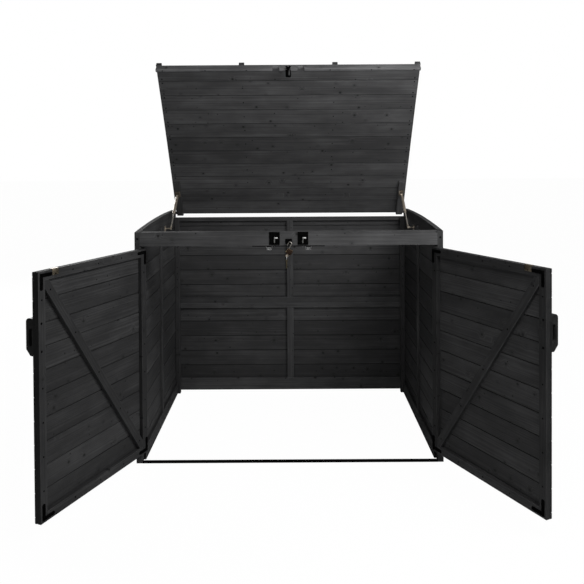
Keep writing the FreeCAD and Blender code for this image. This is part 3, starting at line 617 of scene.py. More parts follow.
@dataclass
class Joiner:
    """Dresses timber nodes, each board with its own grain and tone.

    Faces turned to the way shaded get painted shade in the end-grain stain, from the distance shaded_from on.
    """

    seed: int
    body: str
    axes: tuple[Vector, Vector, Vector] = (RIGHTWARD, BACKWARD, UPWARD)
    # How light its stains are, painted light and shade included
    stain_and_light: float = 1.0
    shaded: Vector = Vector()
    shaded_from: float = 0.0
    edge: float = 0.0014
    ends: Facet = Facet.END_GRAIN_AND_SHADE
    square: float = 0.8
    flat: float = 0.9
    longest_jump: float = 40.0
    heart_off: float = 0.045
    heart_deep: Pair = (0.018, 0.070)

    def __post_init__(self) -> None:
        """Starts the seeded choices."""
        self.dice = random.Random(self.seed)

    def dress(self, node: str, edge: float | None = None, shade: float = 0.0,
              stain_and_light: float = 1.0) -> bpy.types.Object:
        """Replaces a timber node with eased, grained pieces.

        Args:
            node: The CAD node.
            edge: The width of the eased edge, or None for the usual one.
            shade: A tone added to all of it.
            stain_and_light: How light it is beside the joiner's other timbers; besides the stain, this paints
                in light and shade.

        Returns:
            The new piece.
        """
        stack = MeshStack()
        for solid in solids_of(node):
            ease(solid, self.edge if edge is None else edge)
            grain = self._grain(solid)
            stack.take(solid, None, grain, shade + self.dice.uniform(-1.0, 1.0))
        stain_and_light *= self.stain_and_light
        stains_with_light = [StainedTimber(f"timber_{facet.name.lower()}_{round(100 * stain_and_light)}", lift=stain_and_light * facet.value)
                  for facet in Facet]
        return stack.piece("timber_" + node, stains_with_light, self.body, (node,))

    def _grain(self, solid: Mesh) -> list[Point]:
        """Sets the grain along the longest way of a solid, and the kind of each face.

        Args:
            solid: One board or post.

        Returns:
            The place along, across and into the wood of each corner, in metres.
        """
        spans = []
        for axis in (way.normalized() for way in self.axes):
            reach = [v.co.dot(axis) for v in solid.verts]
            spans.append((max(reach) - min(reach), (max(reach) + min(reach)) / 2, axis))
        spans.sort(key=lambda span: -span[0])
        along, across, into = spans
        solid.normal_update()
        for face in solid.faces:
            squareness = [abs(face.normal.dot(span[2])) for span in spans]
            far = face.calc_center_median().dot(self.shaded) > self.shaded_from
            # End faces take the end-grain stain; faces turned to the way shaded take it too, as painted shade
            if squareness[0] > self.square or (far and face.normal.dot(self.shaded) > self.square):
                face.material_index = self.ends.slot
            # Groove faces get painted shade, darkest on those that face down
            elif face.material_index == Facet.FLAT.slot and max(squareness) < self.flat:
                face.material_index = (Facet.GROOVE_LIP if face.normal.z > 0 else Facet.GROOVE_SHADE).slot
        jump = self.dice.uniform(0.0, self.longest_jump)
        heart = self.dice.uniform(-self.heart_off, self.heart_off)
        deep = self.dice.uniform(*self.heart_deep)
        return [(v.co.dot(along[2]) + jump, v.co.dot(across[2]) - across[1] + heart,
                 v.co.dot(into[2]) - into[1] + deep) for v in solid.verts]


def skin(rings: list[list[Vector]], loop: bool = False) -> Mesh:
    """Lays faces over rings of points.

    Args:
        rings: The rings in order, each of as many points as the others, or of one point for a tip.
        loop: Whether the last ring joins the first, in place of a face over each end.

    Returns:
        A closed mesh.
    """
    mesh = bmesh.new()
    rows = [[mesh.verts.new(place) for place in ring] for ring in rings]
    for low, high in zip(rows, rows[1:] + (rows[:1] if loop else [])):
        for i in range(max(len(low), len(high))):
            j = i + 1
            quad = [low[i % len(low)], low[j % len(low)], high[j % len(high)], high[i % len(high)]]
            mesh.faces.new(list(dict.fromkeys(quad)))
    for row in (rows[0], rows[-1]):
        if len(row) > 2 and not loop:
            mesh.faces.new(row)
    bmesh.ops.recalc_face_normals(mesh, faces=mesh.faces)
    return mesh


def circle(centre: Vector, across: Vector, up: Vector, radius: float, sides: int) -> list[Vector]:
    """Points evenly round a circle, from across on towards up, or its middle alone if it has no radius."""
    turns = [2 * math.pi * i / sides for i in range(sides if radius else 1)]
    return [centre + (across * math.cos(turn) + up * math.sin(turn)) * radius for turn in turns]


def turned(profile: Profile, start: Vector, along: Vector, sides: int = 32) -> Mesh:
    """Turns a profile, which pairs distances along the axis with radii, into a closed mesh."""
    across, up, axis = UPWARD.rotation_difference(along.normalized()).to_matrix().col
    return skin([circle(start + axis * reach, across, up, radius, sides) for reach, radius in profile])


def bent_rod(path: list[Vector], radius: float, taper: float, sides: int = 24) -> Mesh:
    """Sweeps a round rod along a line of points.

    Args:
        path: The middle of the rod, bend by bend.
        radius: Its radius.
        taper: The share of the radius lost at the two ends.
        sides: The number of faces round it.

    Returns:
        A closed mesh.
    """
    rings = []
    last = len(path) - 1
    side = (path[1] - path[0]).cross(ASLANT)
    for i, at in enumerate(path):
        ahead = (path[min(i + 1, last)] - path[max(i - 1, 0)]).normalized()
        side = (side - ahead * side.dot(ahead)).normalized()
        size = radius * (1.0 - taper if i in (0, last) else 1.0)
        rings.append(circle(at, side, ahead.cross(side), size, sides))
    return skin(rings)


def rounded_path(corners: list[Vector], bend: float, tip: Pair, steps: int = 8) -> list[Vector]:
    """Rounds the inner corners of a line and sets out its rounded tip.

    Args:
        corners: The line's points.
        bend: The radius of each bend.
        tip: How far before the end the tip starts, and where it is half drawn in.
        steps: The number of short runs in a bend.

    Returns:
        The rounded line's points.
    """
    path = [corners[0]]
    for before, corner, after in zip(corners, corners[1:], corners[2:]):
        back = (before - corner).normalized()
        on = (after - corner).normalized()
        half = back.angle(on) / 2
        first = corner + back * (bend / math.tan(half))
        centre = corner + (back + on).normalized() * (bend / math.sin(half))
        turn = back.cross(on).normalized()
        for i in range(steps + 1):
            spin = Matrix.Rotation(-(math.pi - 2 * half) * i / steps, 3, turn)
            point = centre + spin @ (first - centre)
            if (point - path[-1]).length > TOUCHING:
                path.append(point)
    end = corners[-1]
    back = (path[-1] - end).normalized()
    return path + [end + back * reach for reach in (*tip, 0.0)]


@dataclass(frozen=True)
class Head:
    """The size of a screw or nail head, and the drive in it."""

    radius: float
    high: float = 0.0009
    recess: Recess = Recess.CROSS
    sunk: float = 0.0006
    sides: int = 14
    arm: float = 0.62
    slit: float = 0.17
    slit_sunk: float = 0.0001
    slit_proud: float = 0.00005

    def build(self, at: Vector, out: Vector, lean: float) -> list[Mesh]:
        """Turns the head and cuts the dark cross of its drive.

        Args:
            at: The point on the surface.
            out: The way that the surface faces.
            lean: How far the cross is turned, in degrees.

        Returns:
            The head, and the cross if it has one.
        """
        r, h = self.radius, self.high
        profile = [(-self.sunk, r), *((h * up, r * wide) for up, wide in self.recess.value)]
        head = turned(profile, at, out, self.sides)
        if self.recess is Recess.PLAIN:
            return [head]
        turn = UPWARD.rotation_difference(out).to_matrix() @ Matrix.Rotation(math.radians(lean), 3, "Z")
        long, half = self.arm * r, self.slit * r
        arm = [(long, half), (half, half), (half, long)]
        outline = []
        for _ in range(4):
            outline += arm
            arm = [(-y, x) for x, y in arm]
        cross = bmesh.new()
        low, high = ([cross.verts.new(at + out * h + turn @ Vector((x, y, z))) for x, y in outline]
                     for z in (-self.slit_sunk, self.slit_proud))
        cross.faces.new(high)
        for i, corner in enumerate(low):
            j = (i + 1) % len(low)
            cross.faces.new([corner, low[j], high[j], high[i]])
        return [head, cross]


def drive(name: str, body: str, finish: Finish, heads: list[tuple[Head, Vector, Vector]]) -> None:
    """Drives a set of screws or nails.

    Args:
        name: The set's name.
        body: The body that it rides on.
        finish: What the heads are made of.
        heads: Each head, its point on the surface and the way that this faces.
    """
    stack = MeshStack()
    for count, (head, at, out) in enumerate(heads):
        lean = FIRST_LEAN + NEXT_LEAN * (count % LEANS)
        for slot, mesh in enumerate(head.build(at, out.normalized(), lean)):
            stack.take(mesh, slot)
    stack.piece(name, [finish, BLACK_STEEL], body, smooth=40.0)


@dataclass
class Smith:
    """Dresses metal and moulded nodes that keep their CAD shape."""

    body: str

    def dress(self, node: str, finish: Finish, edge: float = 0.0005, smooth: float = 32.0, steps: int = 2,
              rim: Finish | None = None) -> None:
        """Replaces a node with an eased, smooth-shaded piece.

        Args:
            node: The CAD node.
            finish: What it is made of.
            edge: The width of the eased edge.
            smooth: The angle, in degrees, under which faces shade as one.
            steps: The number of faces across an eased edge.
            rim: The finish of the eased edges, or None for the same.
        """
        stack = MeshStack()
        for solid in solids_of(node):
            ease(solid, edge, steps, smooth)
            stack.take(solid)
        stack.piece("dressed_" + node, [finish, rim] if rim else [finish], self.body, (node,), smooth)


@dataclass
class Carcass:
    """The standing frame: sides, posts, back and threshold."""

    side_seed: int = 11
    back_seed: int = 23
    post_x: float = 0.7655
    rail_z: float = 1.142
    corner_x: float = 0.7375
    corner_y: float = 1.019
    corner_z: Row = (0.960, 0.830, 0.790, 0.750, 0.700, 0.420, 0.300, 0.140)
    outer_x: float = 0.780
    rear_y: float = 1.0575
    rear_z: Row = (0.09, 0.36, 0.64, 0.92, 1.12)
    trim_y: Row = (0.10, 0.36, 0.62, 0.88)
    trim_z: float = 1.154
    trim_slope: float = 0.025
    trim_bow: float = 0.04285
    stile_x: float = 0.740
    stile_y: float = 0.528
    stile_z: Row = (0.12, 0.35, 0.64, 0.84, 1.10)
    back_x: Row = (-0.5, 0.0, 0.5)
    back_z: Row = (0.050, 0.572, 0.607, 1.142)
    rail_head: Head = Head(0.0052)
    outer_head: Head = Head(0.0032)
    inner_head: Head = Head(0.0028)
    back_head: Head = Head(0.0030)

    def build(self) -> None:
        """Dresses every standing timber and drives its screws."""
        for count, side in enumerate(Side):
            left = side is Side.LEFT
            # These tints paint in light and shade as well as stain: the right side lighter, the right post
            # and the framing darker
            joiner = Joiner(self.side_seed + count, "carcass", stain_and_light=1.08 if left else 1.3)
            joiner.dress(side.word + "_side_boards", edge=0.0)
            joiner.dress(side.word + "_front_post", stain_and_light=1.0 if left else 0.55)
            for part in ("rear_post", "arch_trim", "side_framing"):
                joiner.dress(side.word + "_" + part, stain_and_light=0.85)
        back = Joiner(self.back_seed, "carcass", stain_and_light=1.12)
        back.dress("back_boards", edge=0.0)
        for part in ("top_rail", "middle_rails", "bottom_rail", "centre_stiles", "corner_posts"):
            back.dress("back_" + part)
        back.dress("front_rail", edge=0.0018, shade=0.35)
        Smith("carcass").dress("threshold_bar", BLACK_STEEL, edge=0.0006)
        self._screws()

    def _trim_top(self, y: float) -> float:
        """How high the arched trim's screws stand at a distance back."""
        return self.trim_z + self.trim_slope * y + self.trim_bow * y * (DEPTH - y)

    def _screws(self) -> None:
        """Drives the screws through posts, trims, framing and back rails."""
        heads = []
        for side in Side:
            x, out = side.value, side.out
            heads.append((self.rail_head, spot(x * self.post_x, 0.0, self.rail_z), FORWARD))
            heads += [(self.inner_head, spot(x * self.corner_x, self.corner_y, z), FORWARD)
                      for z in self.corner_z]
            outer = [(self.rear_y, z) for z in self.rear_z] + [(y, self._trim_top(y)) for y in self.trim_y]
            heads += [(self.outer_head, spot(x * self.outer_x, y, z), out) for y, z in outer]
            heads += [(self.inner_head, spot(x * self.stile_x, self.stile_y, z), -out) for z in self.stile_z]
        heads += [(self.back_head, spot(x, DEPTH, z), BACKWARD) for x in self.back_x for z in self.back_z]
        drive("carcass_screws", "carcass", BLACK_STEEL, heads)


@dataclass
class RailHardware:
    """What is fixed to the front rail and the sides: bolts, plates, catches, staple and brackets."""

    bolt_x: float = 0.072
    bolt_y: float = 0.010
    tip_z: float = 1.0985
    shank: Profile = ((0.0, 0.0026), (0.0014, 0.004), (0.0512, 0.004), (0.0517, 0.0035))
    neck_z: float = 1.1442
    neck_radius: float = 0.0035
    neck_taper: float = 0.35
    handle_y: float = -0.0095
    handle_long: float = 0.016
    handle_bend: float = 0.006
    handle_tip: Pair = (0.0010, 0.0003)
    plate_front: float = -0.003
    screw_x: Pair = (-0.020, 0.020)
    screw_z: Pair = (1.1155, 1.1675)
    staple_x: Pair = (-0.0115, -0.001)
    staple_z: Pair = (1.1165, 1.1355)
    strip_x: Row = (-0.170, -0.035, 0.035, 0.170)
    strip_y: float = 0.022
    strip_z: float = 1.100
    bracket_x: float = 0.751
    bracket_y: Pair = (0.681, 0.707)
    bracket_z: Pair = (1.112, 1.128)
    plate_head: Head = Head(0.0034, 0.0012)
    staple_head: Head = Head(0.0021, 0.0008)
    strip_head: Head = Head(0.0030, 0.0007)
    bracket_head: Head = Head(0.0026, 0.0008)

    def build(self) -> None:
        """Dresses the metalwork and drives its screws."""
        smith = Smith("carcass")
        smith.dress("bolt_plates", BLACK_STEEL, edge=0.0007)
        smith.dress("bolt_guide_strip", BLACK_STEEL, edge=0.0003)
        smith.dress("hasp_staple", BLACK_STEEL, edge=0.0007)
        # The catches' eased rim is pale: a painted highlight
        smith.dress("magnetic_catches", CATCH_DARK, edge=0.0013, smooth=25.0, rim=CATCH_RIM_HIGHLIGHT)
        smith.dress("lid_pivot_bolts", DARK_ZINC, edge=0.0004)
        smith.dress("strut_lower_brackets", PALE_BRONZE, edge=0.0006)
        for side in Side:
            self._bolt(side)
        self._screws()

    def _bolt(self, side: Side) -> None:
        """Turns a round bolt with its bent, round-ended handle.

        Args:
            side: The gate that it holds.
        """
        x = side.value * self.bolt_x
        stack = MeshStack()
        stack.take(turned(self.shank, spot(x, self.bolt_y, self.tip_z), UPWARD), 0)
        bend = spot(x, self.handle_y, self.neck_z)
        corners = [spot(x, self.bolt_y, self.neck_z), bend, bend + RIGHTWARD * self.handle_long]
        path = rounded_path(corners, self.handle_bend, self.handle_tip)
        stack.take(bent_rod(path, self.neck_radius, self.neck_taper), 0)
        stack.piece(side.word + "_drop_bolt", [BRIGHT_ZINC], side.word + "_slide_bolt",
                    (side.word + "_bolt",), smooth=40.0)

    def _screws(self) -> None:
        """Drives the screws of plates, staple, strip and brackets."""
        black = [(self.plate_head, spot(side.value * self.bolt_x + x, self.plate_front, z), FORWARD)
                 for side in Side for x in self.screw_x for z in self.screw_z]
        black += [(self.staple_head, spot(x, self.plate_front, z), FORWARD)
                  for x in self.staple_x for z in self.staple_z]
        drive("rail_screws", "carcass", BLACK_STEEL, black)
        plain = [(self.strip_head, spot(x, self.strip_y, self.strip_z), -UPWARD) for x in self.strip_x]
        plain += [(self.bracket_head, spot(side.value * self.bracket_x, y, z), -side.out)
                  for side in Side for z in self.bracket_z for y in self.bracket_y]
        drive("strip_screws", "carcass", DARK_ZINC, plain)


@dataclass
class Gate:
    """One braced gate with its metalwork, open as in the photograph."""

    side: Side
    leaf_seed: int = 40
    brace_seed: int = 60
    shaded_edge: float = 0.003
    plate_edge_s: Pair = (0.7375, 0.0045)
    plate_edge_z: Pair = (1.087, 0.080)
    plate_thick: float = 0.003
    plate_mid: float = 0.0075
    plate_screws: Row = (0.030, 0.058)
    handle_s: float = 0.731
    handle_z: Pair = (0.771, 0.885)
    stile_z: Row = (0.20, 0.34, 0.48, 0.62, 0.98)
    rail_s: Row = (0.20, 0.37, 0.54)
    brace_shares: Row = (0.045, 0.27, 0.5, 0.73, 0.955)
    catch_s: float = 0.648
    catch_below: float = 0.019
    catch_thick: float = 0.002
    plate_head: Head = Head(0.0034)
    handle_head: Head = Head(0.0050, 0.0016)
    frame_head: Head = Head(0.0036)
    catch_head: Head = Head(0.0030, 0.0010)

    @property
    def body(self) -> str:
        """The body that the gate is."""
        return self.side.word + "_gate"

    def at(self, s: float, t: float, z: float) -> Vector:
        """A point of the open gate.

        Args:
            s: The distance along the leaf from the pin.
            t: The distance in from the outer face.
            z: The height.

        Returns:
            The point in the store's frame.
        """
        swing = math.radians(LEFT_SWING if self.side is Side.LEFT else RIGHT_SWING)
        deep = t - PIN_Y
        x = PIN_X - (s * math.cos(swing) + deep * math.sin(swing))
        return spot(self.side.value * x, PIN_Y - s * math.sin(swing) + deep * math.cos(swing), z)

    def way(self, s: float, t: float, z: float = 0.0) -> Vector:
        """A direction of the open gate."""
        return self.at(s, t, z) - self.at(0.0, 0.0, 0.0)

    def build(self) -> None:
        """Dresses the leaf and its metalwork. The left gate's free edge gets painted shade."""
        left = self.side is Side.LEFT
        prefix = self.body + "_"
        along, inner = self.way(1, 0), self.way(0, 1)
        free = along if left else Vector()
        edge = self.at(LEAF_END - self.shaded_edge, 0, 0).dot(free)
        # The gate's tints paint in its light and shade, the stiles' most of all
        joiner = Joiner(self.leaf_seed + self.side.value, self.body, (along, inner, UPWARD), stain_and_light=0.92,
                        shaded=free, shaded_from=edge)
        joiner.dress(prefix + "boards", edge=0.0)
        joiner.dress(prefix + "stiles", stain_and_light=0.88 if left else 0.55)
        joiner.dress(prefix + "rails", stain_and_light=0.95)
        rise = LEAF_TOP - LEAF_BOTTOM - 2 * LEAF_FRAME
        run = LEAF_END - LEAF_START - 2 * LEAF_FRAME
        axes = (self.way(run, 0, rise), inner, self.way(rise, 0, -run))
        Joiner(self.brace_seed + self.side.value, self.body, axes, stain_and_light=0.90).dress(prefix + "brace")
        smith = Smith(self.body)
        smith.dress(prefix + "corner_plates", BLACK_STEEL, edge=0.0006)
        smith.dress(prefix + "catch_plate", BRONZE, edge=0.0004)
        smith.dress(prefix + "handle", BLACK_GRIP, edge=0.0032, smooth=40.0, steps=4)
        smith.dress(prefix + "hinge_leaves", BLACK_STEEL, edge=0.0004)
        self._screws()

    def _screws(self) -> None:
        """Drives the screws of the plates and the handle's bolts, then those of the frame and the catch."""
        inner = self.way(0, 1)
        heads = []
        for s0, ds in zip(self.plate_edge_s, (-1, 1)):
            for z0, dz in zip(self.plate_edge_z, (-1, 1)):
                s_mid, z_mid = s0 + ds * self.plate_mid, z0 + dz * self.plate_mid
                places = [(s_mid, z_mid)]
                for reach in self.plate_screws:
                    places += [(s0 + ds * reach, z_mid), (s_mid, z0 + dz * reach)]
                heads += [(self.plate_head, self.at(s, LEAF_THICK + self.plate_thick, z), inner)
                          for s, z in places]
        heads += [(self.handle_head, self.at(self.handle_s, LEAF_THICK, z), inner) for z in self.handle_z]
        drive(self.body + "_plate_screws", self.body, BLACK_STEEL, heads)
        low = (LEAF_START + LEAF_FRAME, LEAF_BOTTOM + LEAF_FRAME)
        high = (LEAF_END - LEAF_FRAME, LEAF_TOP - LEAF_FRAME)
        half = LEAF_FRAME / 2
        places = [(s, z) for z in self.stile_z for s in (high[0] + half, low[0] - half)]
        places += [(s, z) for s in self.rail_s for z in (high[1] + half, low[1] - half)]
        places += [tuple(a + share * (b - a) for a, b in zip(low, high)) for share in self.brace_shares]
        heads = [(self.frame_head, self.at(s, LEAF_THICK, z), inner) for s, z in places]
        catch = self.at(self.catch_s, LEAF_THICK + self.catch_thick, LEAF_TOP - self.catch_below)
        drive(self.body + "_frame_screws", self.body, BLACK_STEEL, [*heads, (self.catch_head, catch, inner)])


@dataclass
class Hinges:
    """The gates' post leaves and the screws in them."""

    heights: Pair = (0.200, 0.966)
    screw_x: float = 0.017
    screw_z: Row = (-0.027, 0.0, 0.027)
    leaf_front: float = -0.002
    head: Head = Head(0.0028, 0.0008)

    def build(self) -> None:
        """Dresses the post leaves and drives their screws."""
        Smith("carcass").dress("post_hinge_leaves", BLACK_STEEL, edge=0.0004)
        heads = [(self.head, spot(side.value * (PIN_X + self.screw_x), self.leaf_front, z + dz), FORWARD)
                 for side in Side for z in self.heights for dz in self.screw_z]
        drive("hinge_screws", "carcass", BLACK_STEEL, heads)


@dataclass
class Lid:
    """The bowed lid, with its fascia, battens, blocks and hasp."""

    seed: int = 77
    # The lid's timbers are lightened with painted light, the fascia most of all
    stain_and_light: float = 1.35
    fascia_painted_light: float = 2.8
    eased: float = 0.3
    seam: float = 0.0994
    rear_seam: float = 0.3048
    seams: int = 8
    beside_seam: float = 0.013
    edge_x: float = 0.7255
    batten_x: Row = (0.7365, 0.266)
    batten_y: Row = (-0.05, -0.35, -0.70, -1.03)
    batten_top: float = 0.040
    nail_x: Row = (0.708, 0.468, 0.236)
    nail_y: float = -1.0885
    fascia_low: float = -0.035
    hasp_front: float = -1.1005
    hasp_screws: Sequence[Pair] = ((-0.0115, -0.0165), (0.0115, -0.0165), (0.0, -0.029))
    seam_head: Head = Head(0.0042, 0.0006, Recess.PLAIN)
    board_head: Head = Head(0.0034, 0.0006, Recess.PLAIN)
    nail_head: Head = Head(0.0036, 0.0005, Recess.PLAIN)
    batten_head: Head = Head(0.0032)
    hasp_head: Head = Head(0.0019, 0.0007)

    def at(self, x: float, y: float, z: float) -> Vector:
        """A point of the open lid.

        Args:
            x: The distance to the right.
            y: The distance back from the rear end, so negative on the lid.
            z: The height over the underside's rear end.

        Returns:
            The point in the store's frame.
        """
        lean = math.radians(LID_OPEN)
        y += LID_FORWARD
        z += LID_BELOW
        back = LID_PIVOT[0] + y * math.cos(lean) + z * math.sin(lean)
        return spot(x, back, LID_PIVOT[1] - y * math.sin(lean) + z * math.cos(lean))

    def way(self, y: float, z: float) -> Vector:
        """A direction of the open lid."""
        return self.at(0, y, z) - self.at(0, 0, 0)

    def rise(self, y: float) -> float:
        """How far the bow lifts the lid at a distance along it."""
        return LID_RISE * (1 - (2 * (y + LID_LONG / 2) / LID_LONG) ** 2)

    def build(self) -> None:
        """Dresses the lid's timbers and metalwork."""
        axes = (RIGHTWARD, self.way(1, 0), self.way(0, 1))
        Joiner(self.seed, "lid", axes, self.stain_and_light).dress("lid_boards", edge=0.0)
        self._fascia(Joiner(self.seed + 1, "lid", axes, self.fascia_painted_light, ends=Facet.GROOVE_LIP))
        joiner = Joiner(self.seed + 2, "lid", axes, self.stain_and_light, ends=Facet.FLAT)
        joiner.dress("lid_battens")
        joiner.dress("lid_corner_blocks")
        smith = Smith("lid")
        smith.dress("strut_upper_brackets", DARK_BRONZE, edge=0.0006)
        smith.dress("hasp_leaf", BLACK_STEEL)
        Smith("hasp").dress("hasp_strap", BLACK_STEEL)
        self._screws()

    def _fascia(self, joiner: Joiner) -> None:
        """Dresses the front board with painted light, and painted shade on the eased edge under its rear. It
        casts no shadow.

        Args:
            joiner: The joiner that dresses it.
        """
        front = joiner.dress("lid_fascia", edge=0.0042)
        front.visible_shadow = False
        rear, under = self.way(1, 0), self.way(0, -1)
        for face in front.data.polygons:
            # The eased edge under the rear gets painted shade; the other eased edges lose their painted
            # highlight
            if min(face.normal.dot(rear), face.normal.dot(under)) > self.eased:
                face.material_index = Facet.GROOVE_SHADE.slot
            elif face.material_index == Facet.WORN_EDGE_AND_HIGHLIGHT.slot:
                face.material_index = Facet.FLAT.slot

    def _screws(self) -> None:
        """Drives the nails under the fascia, the screws under the boards, and those of battens and hasp."""
        under = self.way(0, -1)
        nails = [(self.nail_head, self.at(side.value * x, self.nail_y, self.fascia_low), under)
                 for x in self.nail_x for side in Side]
        row = ((self.seam_head, self.edge_x, -self.beside_seam),
               (self.seam_head, self.edge_x, self.beside_seam),
               (self.board_head, self.batten_x[1], -self.seam / 2))
        places = [(head, side.value * x, -(self.rear_seam + seam * self.seam + reach))
                  for side in Side for seam in range(self.seams) for head, x, reach in row]
        boards = [(head, self.at(x, y, self.rise(y)), under) for head, x, y in places]
        battens = [(self.batten_head, self.at(side.value * x, y, self.batten_top + self.rise(y)), -under)
                   for x in self.batten_x for side in Side for y in self.batten_y]
        hasp = [(self.hasp_head, self.at(x, self.hasp_front, z), self.way(-1, 0))
                for x, z in self.hasp_screws]
        drive("lid_nails", "lid", BLACK_STEEL, nails)
        drive("lid_board_screws", "lid", BLACK_STEEL, boards)
        drive("lid_screws", "lid", DARK_ZINC, battens)
        drive("hasp_screws", "lid", BLACK_STEEL, hasp)


@dataclass
class Strut:
    """A gas strut: a coated cylinder over a polished rod, with a joint at each end.

    The tube and the rod's top are set out down from the upper pin, the collar and the rod's foot from the
    lower one, and the eye and the stud out from the middle of their joint.
    """

    side: Side
    x: float = 0.720
    low: Pair = (0.694, 1.120)
    high: Pair = (0.9405012, 1.3040054)
    tube: Profile = (
        (0.006, 0.0045), (0.009, 0.0045), (0.009, 0.006), (0.012, 0.0065), (0.015, 0.008), (0.017, 0.009),
        (0.156, 0.009), (0.157, 0.0082), (0.159, 0.0082), (0.160, 0.009), (0.166, 0.009), (0.168, 0.007),
        (0.168, 0.0041), (0.164, 0.0041))
    rod_top: Profile = ((0.148, 0.0038), (0.1485, 0.004))
    rod_foot: Profile = ((-0.018, 0.004), (-0.016, 0.0032))
    collar: Profile = ((-0.020, 0.0045), (-0.019, 0.0058), (-0.008, 0.0062), (-0.006, 0.0050))
    eye: Profile = (
        (-0.005, 0.0041), (-0.005, 0.0068), (-0.0042, 0.0076), (0.0042, 0.0076), (0.005, 0.0068),
        (0.005, 0.0041))
    stud: Profile = (
        (-0.005, 0.0), (-0.005, 0.0066), (-0.0042, 0.0076), (0.0042, 0.0076), (0.005, 0.0066), (0.005, 0.004),
        (0.0255, 0.004), (0.0265, 0.0034), (0.0265, 0.0))
    smooth: float = 35.0

    def build(self) -> None:
        """Turns the cylinder and the rod, each with its joint."""
        top = spot(self.side.value * self.x, *self.high)
        foot = spot(self.side.value * self.x, *self.low)
        down, out, word = foot - top, self.side.out, self.side.word
        cylinder = MeshStack()
        cylinder.take(turned(self.tube, top, down), 0)
        cylinder.take(turned(self.eye, top, out), 1)
        cylinder.piece(word + "_cylinder_tube", [STRUT_BROWN, PALE_BRONZE], word + "_cylinder",
                       (word + "_strut_cylinder",), smooth=self.smooth)
        rod = [*self.rod_top, *((down.length + reach, radius) for reach, radius in self.rod_foot)]
        shaft = MeshStack()
        shaft.take(turned(rod, top, down), 0)
        shaft.take(turned(self.collar, foot, down), 1)
        shaft.take(turned(self.stud, foot, out), 1)
        shaft.piece(word + "_strut_shaft", [CHROME, PALE_BRONZE], word + "_rod",
                    (word + "_strut_rod",), smooth=self.smooth)


@dataclass
class Padlock:
    """The open padlock in the staple, with its keys."""

    place: Point = (0.002, -0.014, 1.075)
    tilt: float = 30.0
    case_edge: float = 0.0007
    facing: float = 0.9
    shackle: Sequence[Pair] = ((-0.009, 0.004), (-0.009, 0.046), (-0.025, 0.046), (-0.025, 0.024))
    bend: float = 0.00799
    bend_steps: int = 10
    tip: Pair = (0.0012, 0.0004)
    taper: float = 0.3
    wire: float = 0.0025
    key_hole: float = -0.026
    ring: float = 0.009
    ring_wire: float = 0.0009
    ring_steps: int = 48
    ring_sides: int = 12

    def at(self, x: float, z: float) -> Vector:
        """A point in the middle plane of the tilted lock, measured from its middle."""
        return Matrix.Rotation(math.radians(self.tilt), 3, "Y") @ Vector((x, 0.0, z)) + spot(*self.place)

    def build(self) -> None:
        """Dresses the lock and its keys, and bends the shackle and the key ring."""
        self._case()
        shackle = MeshStack()
        path = rounded_path([self.at(x, z) for x, z in self.shackle], self.bend, self.tip, self.bend_steps)
        shackle.take(bent_rod(path, self.wire, self.taper), 0)
        shackle.piece("lock_shackle", [DULL_ZINC], "padlock", ("padlock_shackle",), smooth=40.0)
        Smith("padlock").dress("padlock_key", NICKEL_KEY, edge=0.0003)
        Smith("keys").dress("spare_key", OLIVE_KEY, edge=0.0003)
        ring = MeshStack()
        centre = self.at(0.0, self.key_hole) - UPWARD * self.ring
        spokes = circle(Vector(), UPWARD, BACKWARD, 1.0, self.ring_steps)
        ring.take(skin([circle(centre + out * self.ring, out, RIGHTWARD, self.ring_wire, self.ring_sides)
                        for out in spokes], True), 0)
        ring.piece("lock_key_ring", [ZINC], "keys", ("key_ring",), smooth=60.0)

    def _case(self) -> None:
        """Dresses the lock's brass case, its broad faces darkened with painted shade and its sides bright."""
        stack = MeshStack()
        for solid in solids_of("padlock_body"):
            ease(solid, self.case_edge)
            for face in solid.faces:
                # Broad faces take the darkened brass, painted shade
                face.material_index = int(abs(face.normal.y) > self.facing)
            stack.take(solid)
        stack.piece("lock_case", [BRASS, LOCK_FACE_SHADE], "padlock", ("padlock_body",), smooth=32.0)


@dataclass(frozen=True)
class Lamp:
    """One square soft lamp that the camera doesn't see."""

    name: str
    place: Point
    size: float
    power: float

    def hang(self, target: Point) -> None:
        """Hangs the lamp.

        Args:
            target: The point that it faces.
        """
        lamp = bpy.data.lights.new(self.name, "AREA")
        lamp.shape = "SQUARE"
        lamp.size = self.size
        lamp.energy = self.power
        holder = bpy.data.objects.new(self.name, lamp)
        holder.location = self.place
        holder.visible_camera = False
        aim = Vector(target) - Vector(self.place)
        holder.rotation_euler = aim.to_track_quat("-Z", "Y").to_euler()
        bpy.context.scene.collection.objects.link(holder)


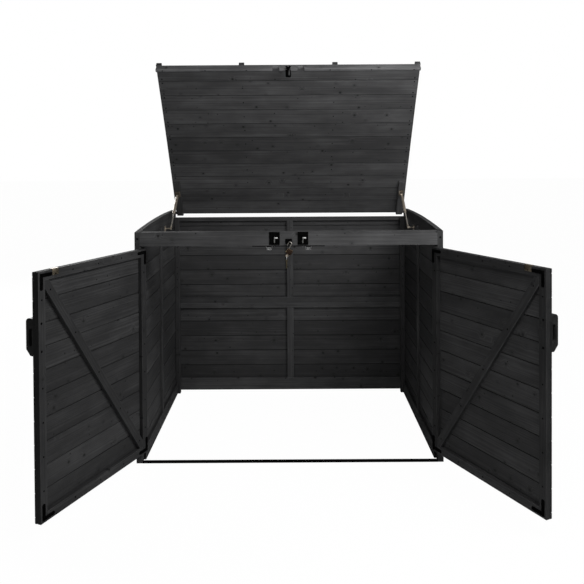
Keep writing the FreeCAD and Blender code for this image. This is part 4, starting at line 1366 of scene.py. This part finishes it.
@dataclass
class Studio:
    """The plain pale floor, the soft light and the camera of the photograph."""

    lens: float = 42.24
    sensor: float = 36.0
    shift_y: float = -0.216
    sight: float = 200.0
    place: Point = (0.0225, -3.470, 1.562)
    tip: float = 89.095
    pan: float = 0.063
    roll: float = -0.338
    sky: float = 0.12
    sky_tint: Colour = (0.98, 0.99, 1.0)
    floor_half: float = 40.0
    floor_show: float = 0.985
    floor_specks: float = 3.0
    floor_shades: Pair = (0.80, 0.82)
    floor_rough: float = 0.9
    target: Point = (0.0, 0.4, 0.8)
    lamps: tuple[Lamp, ...] = (
        Lamp("near", (0.8, -1.6, 2.2), 1.0, 30.0),
        Lamp("right", (1.5, -1.0, 2.4), 0.9, 54.0),
        Lamp("left", (-1.5, -3.6, 0.7), 1.2, 14.0),
        Lamp("back", (-3.2, 4.6, 2.6), 2.5, 150.0),
    )

    def build(self) -> None:
        """Sets the floor, the light and the camera."""
        bpy.context.scene.view_settings.view_transform = "Standard"
        self._world()
        self._floor()
        for lamp in self.lamps:
            lamp.hang(self.target)
        self._camera()
        LOG.info("studio set")

    def _world(self) -> None:
        """Makes the world white to the eye and a plain grey as a light."""
        sheet = NodeSheet(bpy.data.worlds.new("studio"))
        bpy.context.scene.world = sheet.owner
        shades = [sheet.node("Background", {"Color": (*colour, 1.0), "Strength": strength}).outputs[0]
                  for colour, strength in ((self.sky_tint, self.sky), (grey(1.0), 1.0))]
        sheet.seen("OutputWorld", *shades)

    def _floor(self) -> None:
        """Lays the floor, white to the eye but for a trace of shadow."""
        sheet = NodeSheet(bpy.data.materials.new("studio_floor"))
        pale = sheet.blend(sheet.noise(sheet.place(), self.floor_specks), *map(grey, self.floor_shades))
        matt = sheet.node("BsdfPrincipled", {"Roughness": self.floor_rough, "Base Color": pale})
        glow = sheet.node("Emission", {"Color": (*grey(1.0), 1.0)})
        sheet.seen("OutputMaterial", matt.outputs[0], glow.outputs[0], self.floor_show)
        mesh = bpy.data.meshes.new("floor")
        far = self.floor_half
        mesh.from_pydata([(-far, -far, 0), (far, -far, 0), (far, far, 0), (-far, far, 0)], [], [(0, 1, 2, 3)])
        mesh.materials.append(sheet.owner)
        floor = bpy.data.objects.new("floor", mesh)
        bpy.context.scene.collection.objects.link(floor)

    def _camera(self) -> None:
        """Places the camera that was fitted to the photograph."""
        camera = bpy.data.cameras.new("camera")
        camera.lens = self.lens
        camera.sensor_width = self.sensor
        camera.shift_y = self.shift_y
        camera.clip_end = self.sight
        holder = bpy.data.objects.new("camera", camera)
        turn = Matrix.Identity(4)
        for degrees, axis in ((self.pan, "Z"), (self.tip, "X"), (self.roll, "Z")):
            turn = turn @ Matrix.Rotation(math.radians(degrees), 4, axis)
        holder.matrix_world = Matrix.Translation(self.place) @ turn
        bpy.context.scene.collection.objects.link(holder)
        bpy.context.scene.camera = holder


def main() -> None:
    """Builds the studio and dresses every sub-assembly in order."""
    logging.basicConfig(level=logging.INFO, format="%(message)s")
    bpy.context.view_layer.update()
    Studio().build()
    Carcass().build()
    RailHardware().build()
    Hinges().build()
    for side in Side:
        Gate(side).build()
    Lid().build()
    for side in Side:
        Strut(side).build()
    Padlock().build()


if __name__ == "__main__":
    main()
